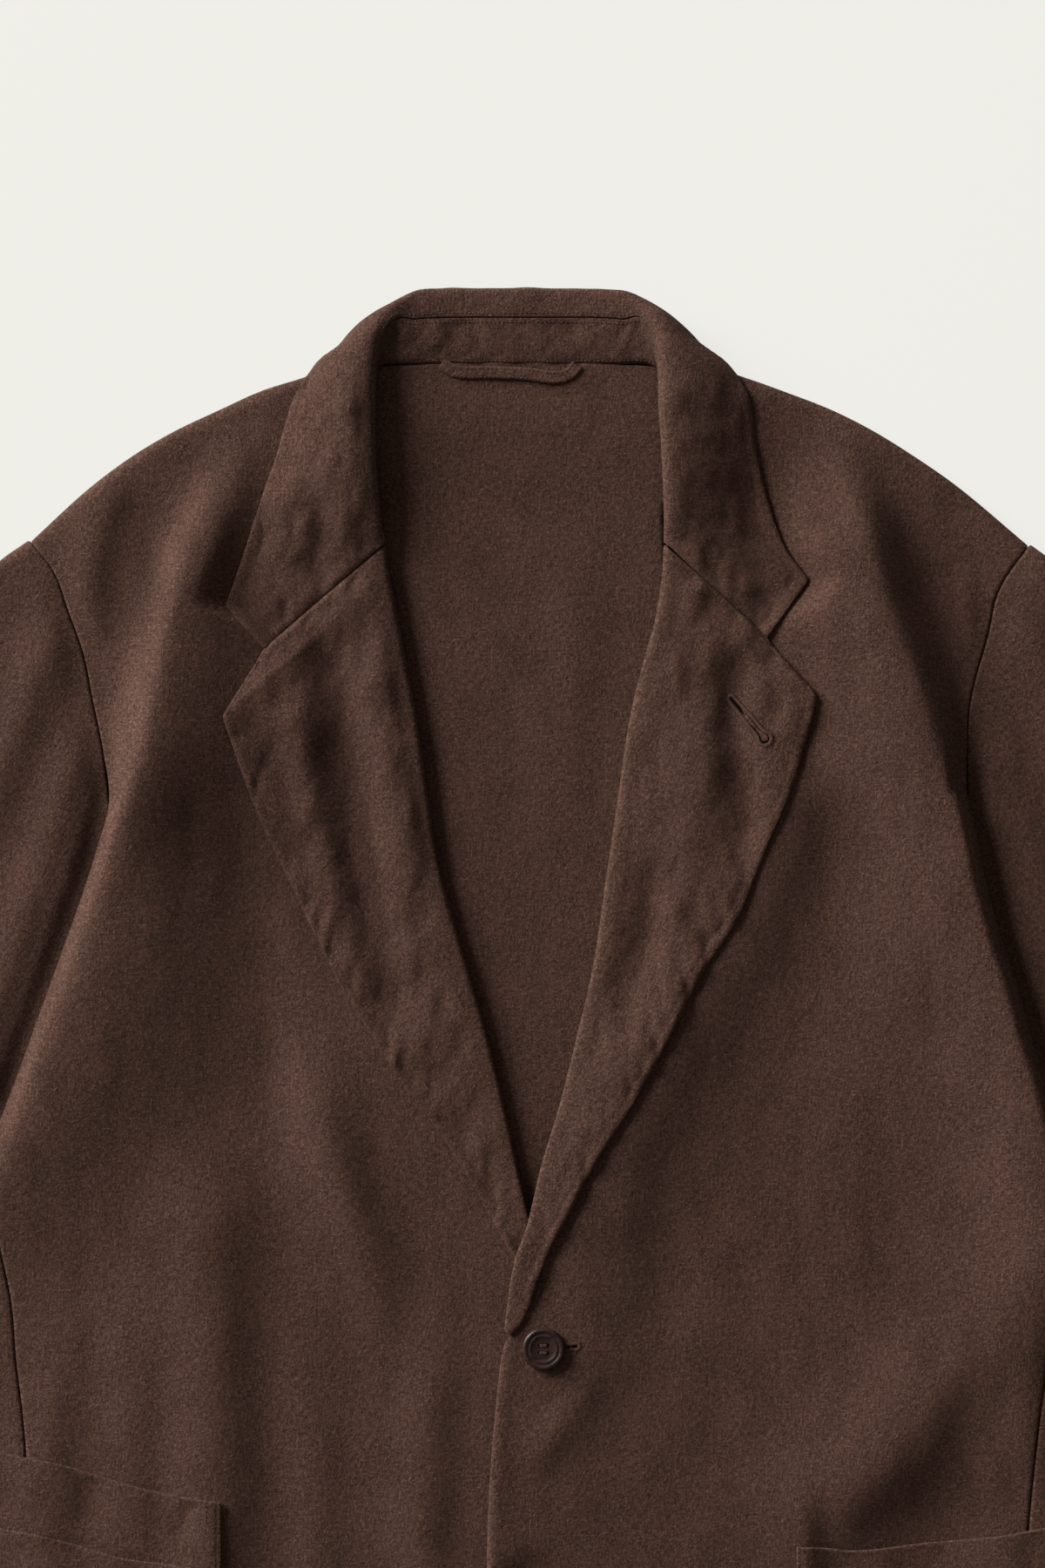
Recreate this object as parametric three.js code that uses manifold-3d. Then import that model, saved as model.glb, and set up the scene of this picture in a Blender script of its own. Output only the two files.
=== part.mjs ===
// A linen jacket laid flat on its back, buttoned left over right.
// Millimetres. +X is the wearer's left, +Y runs up to the collar, +Z is up from the surface it lies on.
import * as THREE from "three";
import { mergeVertices } from "three/addons/utils/BufferGeometryUtils.js";
import Module from "manifold-3d";

// ---------------------------------------------------------------- driving dimensions

const CLOTH = 1.6; // one layer of brushed linen, with its nap
const LAPEL_CLOTH = 1.8; // front and facing, turned back together
const COLLAR_CLOTH = 2.0; // upper and under collar
const SEAM = 0.4; // the gap between two pieces that are sewn together
const SLEEVE_SEAM = 0.52; // the gap between a front and its sleeve's head, across the body
const CURVED_SEAM = 0.9; // the same gap where a seam curves between the corners of its facets
const LAPEL_SEAM = 1.26; // the gap between a front's turned-under edge and its lapel
const LAPEL_END_SEAM = 2.16; // the same beside the narrow end of the lapel
const REST = 0.3; // the gap between two layers that lie on each other
const LAYER = CLOTH + REST; // from the middle of one layer to the middle of the one on top
const FLOOR = CLOTH / 2; // the middle of the layer that lies on the surface

const FRONT_HEIGHT = 5; // the middle of a front's cloth above the surface
const SLEEVE_HEIGHT = 6;
const TUCKED_HEIGHT = 3.6; // the sleeve where the body lies over it
const EDGE_HEIGHT = 5.8; // the body's folded edge where it lies over the sleeve

// How far the neck is raised by the collar folded under it, and where that begins.
const NECK = { lift: 2.8, bottomY: 322, rise: 20, halfWidth: 134, fall: 22, frontShare: 0.3 };
// The left front's climb over the right front, and higher over the end of the right lapel.
const OVERLAP = {
  x: 48, acrossX: 14, y: -14, acrossY: 30, gap: 0.8,
  overLapel: 2.6, lapelEndY: -128, lapelEndRise: 26,
};
// The right front stays flat where the left front lies on it.
const UNDERLAP = { topY: -40, x: -8, acrossX: 24 };
// How far a panel takes to reach its free height beside a seam or an edge.
const RUN_IN = {
  armhole: 14, bodyEdge: 8, sleeveHead: 16,
  underBody: 14, underBodyStart: 3, underBodyAlong: 18,
};
const SIDE_TUCK = { length: 46, rise: 20 }; // where the side panel comes down from over the sleeve
const POCKET_LIFT = 0.85; // how far a patch pocket stands off its front, above the layer's own thickness
const LAPEL_REST = 2; // the least height of a lapel's middle above the front under it
const COLLAR_REST = 0.7;

const BUTTON = {
  radius: 10, thickness: 3.2, rim: 2.4, dish: 0.9,
  hole: 1, holeCircle: 2.6, sides: 28, gap: 0.35,
};
const BUTTON_X = 11;
const UPPER_BUTTON_Y = -99;
const BUTTON_SPACING = 117;
const LOOP = { width: 5, thickness: 1.8, gap: 0.4 };
const HEM_Y = -393;
const BACK_HEM_Y = -397;

// How a folded edge turns from the under layer (rise 0) to the top layer (rise 1), by its distance in
// from the outline.
const FOLD_TURN = [
  { inward: 12, rise: 0 },
  { inward: 5, rise: 0 },
  { inward: 1.4, rise: 0.14 },
  { inward: 0, rise: 0.5 },
  { inward: 1.4, rise: 0.86 },
  { inward: 5, rise: 1 },
];
const RETURN_WIDTH = FOLD_TURN[0].inward;
const TOP_WIDTH = FOLD_TURN[FOLD_TURN.length - 1].inward;

const COLOURS = { cloth: 0x4a342c, facing: 0x47322b, collar: 0x4d382f, stand: 0x49342d, button: 0x1f1211 };

// ---------------------------------------------------------------- outlines, a row for each point

const columns = (names, rows) =>
  rows.map((row) => Object.fromEntries(names.map((name, index) => [name, row[index]])));

const OUTLINES = {
  right: {
    sign: -1,
    shoulder: columns(["x", "y"], [
      [-230, 279], [-204, 302], [-183, 318], [-163, 330], [-142, 340], [-122, 349], [-103, 355],
      [-88, 360], [-74, 362],
    ]),
    neckline: columns(["x", "y"], [
      [-74, 362], [-76.2, 350], [-77.4, 335], [-76.8, 318], [-75.8, 300], [-74, 285],
    ]),
    armhole: columns(["x", "y"], [
      [-230, 279], [-219, 265], [-212, 246], [-205, 226], [-201, 206], [-196, 182], [-193, 158],
    ]),
    armpit: columns(["x", "y"], [[-192, 120], [-203, 72]]),
    bodyEdge: columns(["x", "y"], [
      [-193, 158], [-199, 135], [-206, 113], [-216, 85], [-228, 52], [-237, 27], [-245, 6], [-251, -15],
    ]),
    bodyFold: columns(["x", "y"], [
      [-256.8, -26], [-264, -50], [-274, -85], [-284, -140], [-290, -200], [-297, HEM_Y],
    ]),
    sideSeam: columns(["x", "y"], [
      [-249.6, -26], [-244, -54], [-239, -79], [-237, -104], [-234, -127], [-232, -147], [-228, -250],
      [-224, HEM_Y],
    ]),
    frontEdge: columns(["x", "y"], [[24, -104], [28, -130], [28, -240], [28, -345]]),
    frontCorner: columns(["x", "y"], [[22, -370], [4, -386], [-20, HEM_Y]]),
    sleeveOuter: columns(["x", "y"], [
      [-230, 279], [-246, 268], [-282, 229], [-314, 182], [-343, 129], [-400, 6], [-460, -123],
      [-520, -252],
    ]),
    sleeveInner: columns(["x", "y"], [[-203, 72], [-259, -38], [-330, -176], [-398, -309]]),
  },
  left: {
    sign: 1,
    shoulder: columns(["x", "y"], [
      [239, 277], [206, 304], [186, 318], [165, 331], [145, 341], [124, 349], [104, 356], [88, 361],
      [72, 362],
    ]),
    neckline: columns(["x", "y"], [
      [72, 362], [74.6, 350], [76.2, 335], [77, 318], [76.9, 300], [77.6, 289],
    ]),
    armhole: columns(["x", "y"], [
      [239, 277], [230, 265], [224, 254], [220, 236], [214, 215], [211, 201], [210, 182], [210, 161],
    ]),
    armpit: columns(["x", "y"], [[206, 120], [214, 72]]),
    bodyEdge: columns(["x", "y"], [
      [210, 161], [214, 146], [219, 120], [227, 91], [234, 71], [241, 45], [247, 28], [254, 0], [259, -22],
    ]),
    bodyFold: columns(["x", "y"], [
      [264.6, -34], [268, -52], [276, -85], [285, -140], [291, -200], [298, HEM_Y],
    ]),
    sideSeam: columns(["x", "y"], [
      [257.4, -34], [253, -62], [248, -97], [246, -116], [243, -138], [239, -183], [235, -270],
      [231, HEM_Y],
    ]),
    frontEdge: columns(["x", "y"], [
      [3.6, -80], [-3.6, -87.5], [-7, -97], [-10, -121], [-14, -166], [-15, -204], [-15, -345],
    ]),
    frontCorner: columns(["x", "y"], [[-9, -370], [9, -386], [34, HEM_Y]]),
    sleeveOuter: columns(["x", "y"], [
      [239, 277], [249, 270], [284, 232], [316, 185], [345, 131], [401, 8], [461, -122], [520, -252],
    ]),
    sleeveInner: columns(["x", "y"], [[214, 72], [269, -38], [337, -176], [402, -309]]),
  },
};

// The back's top edge: one fold's return below each shoulder, then the corner round the neck.
const BELOW_SHOULDER = { inward: 6.6, down: 11.2 };
const NECK_CORNER = columns(["inward", "up"], [[-3.5, -2.6], [3.2, -1.2], [2.8, 9.6], [9, 11.6]]);
const NECK_MIDDLE = [1, 361.8];
const UNDER_SLEEVE_Y = [0, -24]; // where the back's side runs on under the sleeve
const CLOSER_AT_TOP = 1.35; // the back's facets are shorter towards the neck

// The largest folds of the fronts and sleeves: the line that each follows, its height and half its width.
const FOLDS = {
  right: [
    {
      line: [
        [-146, 318], [-170, 258], [-186, 200], [-191, 155], [-207, 90], [-231, 25], [-250, -35],
        [-268, -110],
      ],
      height: 4.6,
      width: 13,
    },
    { line: [[-140, 60], [-152, -20], [-152, -110], [-160, -380]], height: 2.8, width: 17 },
    { line: [[-98, 0], [-86, -60], [-86, -150], [-96, -380]], height: 2.4, width: 13 },
    { line: [[-52, -16], [-38, -70], [-34, -130], [-36, -380]], height: 2.2, width: 12 },
    { line: [[-214, -60], [-208, -150], [-216, -380]], height: 2, width: 15 },
  ],
  left: [
    {
      line: [
        [150, 322], [174, 266], [192, 212], [200, 165], [209, 115], [226, 66], [240, 22], [258, -45],
        [270, -110],
      ],
      height: 4.6,
      width: 14,
    },
    { line: [[150, 250], [162, 110], [162, -30], [158, -90]], height: 2.6, width: 22 },
    { line: [[128, -80], [112, -140], [98, -190], [84, -380]], height: 2.4, width: 18 },
    { line: [[52, -110], [46, -180], [42, -380]], height: 1.8, width: 14 },
    { line: [[222, -40], [222, -150], [226, -380]], height: 2.2, width: 16 },
  ],
};
const SLEEVE_FOLDS = {
  right: [
    { line: [[-226, 246], [-240, 196], [-262, 130], [-300, 30]], height: 2.6, width: 12 },
    { line: [[-210, 200], [-222, 130], [-262, 40], [-330, -110]], height: 2.4, width: 12 },
    { line: [[-352, 60], [-382, -20], [-420, -110], [-448, -220]], height: 3, width: 15 },
    { line: [[-400, -60], [-366, -80], [-330, -120]], height: 2.2, width: 12 },
  ],
  left: [
    { line: [[232, 240], [250, 190], [276, 120], [312, 30]], height: 2.6, width: 12 },
    { line: [[222, 190], [240, 110], [280, 20], [340, -110]], height: 2.4, width: 12 },
    { line: [[350, 70], [384, -20], [420, -110], [452, -215]], height: 3, width: 15 },
    { line: [[404, -50], [372, -84], [336, -116]], height: 2.2, width: 12 },
  ],
};

// The lapels: the roll line (fold) with its height, the outer edge, how far the cloth swells over the
// fold, and how far the front is turned under it.
const NARROW_TURN = 6;
const LAPEL_COLUMNS = ["foldX", "foldY", "foldZ", "edgeX", "edgeY", "swell", "turn"];
const LAPELS = {
  right: columns(LAPEL_COLUMNS, [
    [-63.8, 277.0, 10.6, -120.4, 227.7, 3.6, 9],
    [-62.0, 264.0, 10.6, -139.0, 197.0, 3.6, 9],
    [-59.0, 248.0, 10.4, -131.0, 173.0, 3.6, 9],
    [-55.0, 227.0, 10.2, -122.0, 149.0, 3.6, 9],
    [-48.5, 192.0, 10.0, -106.0, 115.0, 3.4, 9],
    [-44.0, 160.0, 9.8, -95.0, 92.0, 3.4, 9],
    [-40.0, 133.0, 9.6, -85.0, 72.0, 3.2, 9],
    [-32.0, 101.0, 9.2, -70.0, 48.0, 3.0, 9],
    [-24.0, 74.0, 8.8, -55.0, 25.0, 2.8, 9],
    [-15.0, 42.0, 8.4, -40.0, 5.0, 2.6, 8],
    [-7.0, 8.0, 7.8, -24.0, -20.0, 2.2, 7],
    [0.0, -24.0, 7.0, -11.0, -43.0, 1.8, 6],
    [7.0, -52.0, 6.3, 0.0, -62.0, 1.2, 4.6],
    [13.0, -72.0, 6.2, 8.5, -77.0, 1.1, 3.4],
  ]),
  left: columns(LAPEL_COLUMNS, [
    [68.2, 277.1, 10.8, 116.4, 232.6, 3.6, 9],
    [67.2, 262.0, 10.8, 139.4, 206.0, 3.6, 9],
    [64.0, 242.0, 10.8, 135.0, 189.0, 3.6, 9],
    [58.5, 222.0, 10.6, 127.0, 163.0, 3.6, 9],
    [52.0, 195.0, 10.4, 116.0, 137.0, 3.4, 9],
    [46.5, 157.0, 10.2, 101.0, 101.0, 3.4, 9],
    [41.5, 123.0, 10.2, 85.0, 76.0, 3.2, 9],
    [35.5, 82.0, 10.2, 66.0, 39.0, 3.0, 9],
    [28.0, 49.0, 10.2, 50.0, 11.0, 2.8, 9],
    [20.0, 17.0, 10.4, 36.0, -11.0, 2.6, 8],
    [10.5, -15.0, 11.0, 23.0, -36.0, 2.2, 7],
    [4.0, -42.0, 11.6, 13.0, -55.0, 1.8, 6],
    [0.0, -60.0, 11.8, 7.0, -67.0, 1.4, 4.2],
    [-1.6, -74.0, 11.8, 4.0, -77.0, 1.3, 2.8],
  ]),
};

// The collar, from the middle of the back round to the gorge seam: the neck seam, the fold, the way the
// cloth leaves the fold (over), the way it comes in to the edge (under), and the outer edge.
const COLLAR_COLUMNS = [
  "seamX", "seamY", "seamZ", "foldX", "foldY", "foldZ", "overX", "overY", "overZ",
  "underX", "underY", "underZ",
  "edgeX", "edgeY", "edgeZ",
];
const COLLAR_BACK = columns(COLLAR_COLUMNS, [
  [1, 362.4, 5.0, 1, 398, 4.9, 0, 0.6, -3.9, 0, 40, 0, 1, 349, 1],
]);
const COLLAR = {
  right: columns(COLLAR_COLUMNS, [
    [-25, 362.4, 5.0, -27, 398, 5.0, 0, 0.6, -4.0, 0, 40, 0, -25, 349, 1],
    [-47, 362.6, 5.1, -46, 397.5, 6.3, -1.5, 1.5, -4.0, 2, 40, 0, -50, 350, 1],
    [-60, 363.0, 5.3, -57, 391.5, 10.8, -7, 4.5, -1, 1, 38, 0, -73, 350.5, 1],
    [-67, 361.0, 5.8, -63.5, 380, 15, -9, 7, 1, 0, 32, 0, -88, 351, 1],
    [-70, 355.0, 6.0, -66.5, 366, 17.6, -7, 7, 5, -2, 29, 0, -97, 353.5, 1],
    [-71.3, 351.0, 6.0, -67.0, 360, 18.4, -5, 5.5, 7, 0, 17, 4, -102.5, 361, 2],
    [-72.5, 347.0, 6.0, -67.4, 354, 19, -4, 4, 8, 3, 6, 7, -107, 362, 5.2],
    [-74.5, 337.0, 6.0, -68, 343, 19.6, -2, 1, 8, 10, 0, 4, -110.5, 350.5, 8],
    [-75.2, 318.0, 6.0, -68, 320, 19, 0, 0, 8, 12, 0, 3, -115, 319, 7.4],
    [-74.4, 300.0, 6.0, -67, 300, 16.5, 0, 0, 7, 14, 0, 2, -122, 297, 7.4],
    [-73.6, 286.0, 5.7, -65.6, 286, 13.4, 0, 0, 5.5, 16, 4, 1.5, -130, 272, 7.4],
    [-73.2, 280.6, 5.4, -64.4, 280.6, 11.4, 0, 0, 4.2, 18, 8, 1, -138, 249, 7.4],
    [-73.0, 278.1, 5.2, -63.8, 277.9, 10.8, 0, 0, 3.6, 18, 16, 1, -120, 228.7, 7.4],
  ]),
  left: columns(COLLAR_COLUMNS, [
    [27, 362.4, 5.0, 28, 398, 5.0, 0, 0.6, -4.0, 0, 40, 0, 27, 349, 1],
    [46, 362.6, 5.1, 47, 397, 6.3, 1.5, 1.5, -4.0, -2, 40, 0, 50, 350, 1],
    [57, 363.0, 5.3, 57.5, 391.5, 10.8, 7, 4.5, -1, -1, 38, 0, 73, 350.5, 1],
    [64, 361.0, 5.8, 61.5, 380, 15, 9, 7, 1, 0, 32, 0, 88, 351, 1],
    [68, 355.0, 6.0, 63.6, 367, 17.6, 7, 7, 5, 2, 29, 0, 97, 353.5, 1],
    [69.3, 351.0, 6.0, 64.2, 361.5, 18.4, 5, 5.5, 7, 0, 17, 4, 102.8, 361.6, 2],
    [70.5, 347.0, 6.0, 64.8, 356, 19, 4, 4, 8, -3, 6, 7, 107.4, 362.4, 5.4],
    [73, 337.0, 6.0, 65.8, 344, 19.6, 2, 1, 8, -10, 0, 4, 110.5, 350.5, 8.2],
    [74.6, 318.0, 6.0, 67, 322, 19, 0, 0, 8, -12, 0, 3, 111.5, 319, 7.4],
    [75.0, 300.0, 6.0, 68, 302, 16.5, 0, 0, 7, -14, 0, 2, 117, 296, 7.4],
    [75.2, 287.0, 5.7, 68.4, 287, 13.4, 0, 0, 5.5, -16, 4, 1.5, 124.5, 276, 7.4],
    [75.4, 281.0, 5.4, 68.4, 281, 11.4, 0, 0, 4.2, -18, 8, 1, 135.5, 261, 7.4],
    [75.5, 278.5, 5.2, 68.4, 278.3, 10.8, 0, 0, 3.6, -18, 16, 1, 116, 234, 7.4],
  ]),
};
const STAND_SEAM = 0.62; // how far up the inside of the collar the stand ends
const STAND_GAP = 0.06;

// How many steps each piece's facets take along it.
const STEPS = {
  back: 12, armhole: 5, bodyEdge: 6, sideSeam: 12, frontAcross: 9, sidePanel: 13,
  sleeve: 14, underSleeve: 9, loop: 14,
  pocketAlong: 7, pocketAcross: 8,
};

// The pockets: the mouth from the body's middle outwards, then the depth of the patch.
const POCKETS = {
  pocket_right_inner: {
    side: "right",
    mouth: [[-140, -171], [-166, -167], [-190, -161], [-217, -153], [-245, -148], [-276, -143]],
    depth: 95,
    layer: 1,
  },
  pocket_right: {
    side: "right",
    mouth: [
      [-139, -203], [-166, -199.5], [-185, -197], [-205, -191.5], [-225, -186], [-245, -183],
      [-278, -178],
    ],
    depth: 156,
    layer: 2,
  },
  pocket_left: {
    side: "left",
    mouth: [[130, -192], [142, -192.5], [156, -194], [188, -191], [225, -187], [247, -183], [279, -178]],
    depth: 160,
    layer: 1,
  },
};
const POCKET_CORNER = 20; // radius of the lower corners

const LOOP_LINE = [
  [-35.4, 358.6], [-31, 356], [-24, 354.4], [-8, 355], [6, 354.4], [15, 353.4], [21, 354.6], [26, 358.6],
];

// ---------------------------------------------------------------- small helpers

const mix = (a, b, t) => a + (b - a) * t;
const clamp = (value) => Math.min(1, Math.max(0, value));
const ease = (value) => clamp(value) ** 2 * (3 - 2 * clamp(value));
const pairs = (points) => points.map(({ x, y }) => [x, y]);
const even = (count) => Array.from({ length: count + 1 }, (_, index) => index / count);
const flat = ([x, y]) => new THREE.Vector3(x, y, 0);

// The x of an outline at a height y; outlines run downwards.
function xAt(outline, y) {
  if (y >= outline[0].y) return outline[0].x;
  for (let index = 1; index < outline.length; index += 1) {
    const [above, below] = [outline[index - 1], outline[index]];
    if (y >= below.y) return mix(above.x, below.x, (above.y - y) / (above.y - below.y));
  }
  return outline[outline.length - 1].x;
}

// A smooth path through points, walked by its length.
function smoothPath(points) {
  const curve = new THREE.CatmullRomCurve3(points.map(flat), false, "centripetal");
  return (t) => curve.getPointAt(clamp(t));
}

// A path of straight stretches between points, walked by its length.
function straightPath(points) {
  const curve = new THREE.CurvePath();
  points.slice(1).forEach((point, index) => {
    curve.add(new THREE.LineCurve3(flat(points[index]), flat(point)));
  });
  return (t) => curve.getPointAt(clamp(t));
}

// How far along a straight path each of its corners lies, and the length of the whole.
function reachedLengths(points) {
  const reached = [0];
  points.slice(1).forEach(([x, y], index) => {
    reached.push(reached[index] + Math.hypot(x - points[index][0], y - points[index][1]));
  });
  return reached;
}
const pathLength = (points) => reachedLengths(points).pop();
const cornerPlaces = (points) => reachedLengths(points).map((length) => length / pathLength(points));

// Fills four boundary paths: top and bottom run from the outer side to the inner side, outer and inner
// run downwards.
function patch(top, bottom, outer, inner) {
  return (u, v) => {
    const point = new THREE.Vector3();
    point.addScaledVector(top(u), 1 - v).addScaledVector(bottom(u), v);
    point.addScaledVector(outer(v), 1 - u).addScaledVector(inner(v), u);
    point.addScaledVector(top(0), -(1 - u) * (1 - v)).addScaledVector(top(1), -u * (1 - v));
    point.addScaledVector(bottom(0), -(1 - u) * v).addScaledVector(bottom(1), -u * v);
    return point;
  };
}

function distanceToLine(x, y, line) {
  let nearest = Infinity;
  for (let index = 1; index < line.length; index += 1) {
    const [ax, ay] = line[index - 1];
    const [bx, by] = line[index];
    const along = clamp(((x - ax) * (bx - ax) + (y - ay) * (by - ay)) / ((bx - ax) ** 2 + (by - ay) ** 2));
    nearest = Math.min(nearest, Math.hypot(x - mix(ax, bx, along), y - mix(ay, by, along)));
  }
  return nearest;
}

function foldHeight(folds, x, y) {
  const heights = folds.map(({ line, height, width }) => {
    const distance = distanceToLine(x, y, line) / width;
    return height * Math.exp(-(distance ** 2));
  });
  return heights.reduce((sum, height) => sum + height, 0);
}

// ---------------------------------------------------------------- heights of the layers

// The back and the turned-over shoulders rise over the collar that is folded under them.
function neckLift(x, y) {
  const { lift, bottomY, rise, halfWidth, fall } = NECK;
  return lift * ease((y - bottomY) / rise) * ease((halfWidth - Math.abs(x)) / fall);
}

function overlapLift(x, y) {
  const overRight = ease((OVERLAP.x - x) / OVERLAP.acrossX) * ease((OVERLAP.y - y) / OVERLAP.acrossY);
  const overLapel = OVERLAP.overLapel * ease((y - OVERLAP.lapelEndY) / OVERLAP.lapelEndRise);
  return overRight * (CLOTH + OVERLAP.gap + overLapel);
}

function frontHeight(side, x, y) {
  const { armhole, bodyEdge } = OUTLINES[side];
  const bottomOfEdge = bodyEdge[bodyEdge.length - 1].y;
  const topOfEdge = bodyEdge[0].y;
  let folds = foldHeight(FOLDS[side], x, y);
  const seamDistance = Math.abs(x - xAt(armhole, y));
  if (y > topOfEdge) folds *= ease(seamDistance / RUN_IN.armhole);
  if (side === "right" && y < UNDERLAP.topY) folds *= ease((UNDERLAP.x - x) / UNDERLAP.acrossX);
  let height = FRONT_HEIGHT + folds + (side === "left" ? overlapLift(x, y) : 0);
  if (y <= topOfEdge && y > bottomOfEdge) {
    const edgeDistance = Math.abs(x - xAt(bodyEdge, y));
    height = mix(EDGE_HEIGHT, height, ease(edgeDistance / RUN_IN.bodyEdge));
  }
  return height;
}

function sleeveHeight(side, x, y) {
  const { sign, armhole, bodyEdge, armpit } = OUTLINES[side];
  const folds = foldHeight(SLEEVE_FOLDS[side], x, y);
  const seamDistance = Math.min(
    distanceToLine(x, y, pairs(armhole)),
    distanceToLine(x, y, pairs([bodyEdge[0], ...armpit])),
  );
  const free = mix(FRONT_HEIGHT, SLEEVE_HEIGHT + folds, ease(seamDistance / RUN_IN.sleeveHead));
  const outside = (x - xAt(bodyEdge, y)) * sign;
  const belowSeam = ease((bodyEdge[0].y - y) / RUN_IN.underBodyAlong + 1);
  const underBody = 1 - ease((outside - RUN_IN.underBodyStart) / RUN_IN.underBody);
  return mix(free, TUCKED_HEIGHT, belowSeam * underBody);
}

// ---------------------------------------------------------------- walls of cloth

// A closed wall around a grid of points that lie in the middle of the cloth.
function wallGeometry(grid, thickness) {
  const rows = grid.length;
  const across = grid[0].length;
  const positions = [];
  for (const side of [1, -1]) {
    for (let row = 0; row < rows; row += 1) {
      for (let column = 0; column < across; column += 1) {
        const before = grid[row][Math.max(column - 1, 0)];
        const after = grid[row][Math.min(column + 1, across - 1)];
        const above = grid[Math.max(row - 1, 0)][column];
        const below = grid[Math.min(row + 1, rows - 1)][column];
        const normal = below.clone().sub(above).cross(after.clone().sub(before)).normalize();
        const point = grid[row][column].clone().addScaledVector(normal, (side * thickness) / 2);
        positions.push(point.x, point.y, point.z);
      }
    }
  }
  const at = (layer, row, column) => layer * rows * across + row * across + column;
  const faces = [];
  const quad = (a, b, c, d) => faces.push(a, b, c, a, c, d);
  for (let row = 0; row < rows - 1; row += 1) {
    for (let column = 0; column < across - 1; column += 1) {
      quad(at(0, row, column), at(0, row + 1, column), at(0, row + 1, column + 1), at(0, row, column + 1));
      quad(at(1, row, column), at(1, row, column + 1), at(1, row + 1, column + 1), at(1, row + 1, column));
    }
  }
  for (let row = 0; row < rows - 1; row += 1) {
    quad(at(0, row, 0), at(1, row, 0), at(1, row + 1, 0), at(0, row + 1, 0));
    const last = across - 1;
    quad(at(0, row + 1, last), at(1, row + 1, last), at(1, row, last), at(0, row, last));
  }
  for (let column = 0; column < across - 1; column += 1) {
    quad(at(0, 0, column + 1), at(1, 0, column + 1), at(1, 0, column), at(0, 0, column));
    const last = rows - 1;
    quad(at(0, last, column), at(1, last, column), at(1, last, column + 1), at(0, last, column + 1));
  }
  const geometry = new THREE.BufferGeometry();
  geometry.setAttribute("position", new THREE.Float32BufferAttribute(positions, 3));
  geometry.setIndex(volume(positions, faces) > 0 ? faces : faces.reverse());
  geometry.computeVertexNormals();
  return geometry;
}

function volume(positions, faces) {
  const corner = (index) => new THREE.Vector3(...positions.slice(index * 3, index * 3 + 3));
  let total = 0;
  for (let face = 0; face < faces.length; face += 3) {
    total += corner(faces[face]).dot(corner(faces[face + 1]).cross(corner(faces[face + 2])));
  }
  return total / 6;
}

function piece(name, geometry, colour, roughness = 0.95) {
  const material = new THREE.MeshStandardMaterial({ color: colour, roughness, metalness: 0 });
  const mesh = new THREE.Mesh(geometry, material);
  mesh.name = name;
  return mesh;
}

// Places across a panel: fold turns at either side where the edge is folded, even steps between.
function stations(width, fractions, { foldStart = false, foldEnd = false } = {}) {
  const fold = FOLD_TURN.map(({ inward, rise }) => ({ place: inward / width, rise }));
  const turned = fold.map(({ place, rise }) => ({ place: 1 - place, rise })).reverse();
  const first = foldStart ? fold[fold.length - 1].place : -1;
  const last = foldEnd ? turned[0].place : 2;
  const between = fractions.filter((place) => place > first && place < last);
  const middle = between.map((place) => ({ place, rise: 1 }));
  return [...(foldStart ? fold : []), ...middle, ...(foldEnd ? turned : [])];
}

// ---------------------------------------------------------------- panels

function backPanel() {
  const { right, left } = OUTLINES;
  const seamBelowFold = RETURN_WIDTH + CURVED_SEAM;
  const side = ({ sign, armhole, armpit, bodyFold, sleeveInner }) => {
    const inset = (points, by) => points.map(({ x, y }) => [x - sign * by, y]);
    const lowerArmhole = armhole.filter(({ y }) => y < armhole[0].y - RETURN_WIDTH);
    const underSleeve = UNDER_SLEEVE_Y.map((y) => ({ x: xAt(sleeveInner, y), y }));
    return [
      ...inset(lowerArmhole, 1.5 * CURVED_SEAM),
      ...inset([...armpit, ...underSleeve], 4 * CURVED_SEAM),
      ...inset(bodyFold.slice(1), seamBelowFold + CURVED_SEAM),
    ];
  };
  const outer = side(right);
  const inner = side(left);
  const underShoulder = ({ sign, shoulder }) =>
    shoulder.slice(1, -2).map(({ x, y }) => [x - BELOW_SHOULDER.inward * sign, y - BELOW_SHOULDER.down]);
  const neckCorner = ({ sign, neckline }) =>
    NECK_CORNER.map(({ inward, up }) => [neckline[1].x - sign * inward, neckline[1].y + up]);
  const top = [
    outer[0],
    ...underShoulder(right),
    ...neckCorner(right),
    NECK_MIDDLE,
    ...neckCorner(left).reverse(),
    ...underShoulder(left).reverse(),
    inner[0],
  ];
  outer.push([outer[outer.length - 1][0], BACK_HEM_Y]);
  inner.push([inner[inner.length - 1][0], BACK_HEM_Y]);
  const bottom = [outer[outer.length - 1], [0, BACK_HEM_Y], inner[inner.length - 1]];
  const plan = patch(straightPath(top), straightPath(bottom), smoothPath(outer), smoothPath(inner));
  const across = cornerPlaces(top);
  const grid = even(STEPS.back).map((v) =>
    across.map((u) => {
      const point = plan(u, v ** CLOSER_AT_TOP);
      return point.setZ(FLOOR + neckLift(point.x, point.y));
    }),
  );
  return piece("back", wallGeometry(grid, CLOTH), COLOURS.cloth);
}

// The inner side of a front: its neckline, then the line where it is turned under the lapel, then its
// own front edge.
function frontInnerSide(side) {
  const { sign, neckline, frontEdge } = OUTLINES[side];
  const underLapel = LAPELS[side].map(({ foldX, foldY, turn }) => {
    const clearance = mix(LAPEL_SEAM, LAPEL_END_SEAM, ease((NARROW_TURN - turn) / 2));
    return [foldX + sign * (turn + clearance), foldY];
  });
  return [...pairs(neckline), ...underLapel, ...pairs(frontEdge)];
}

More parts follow.
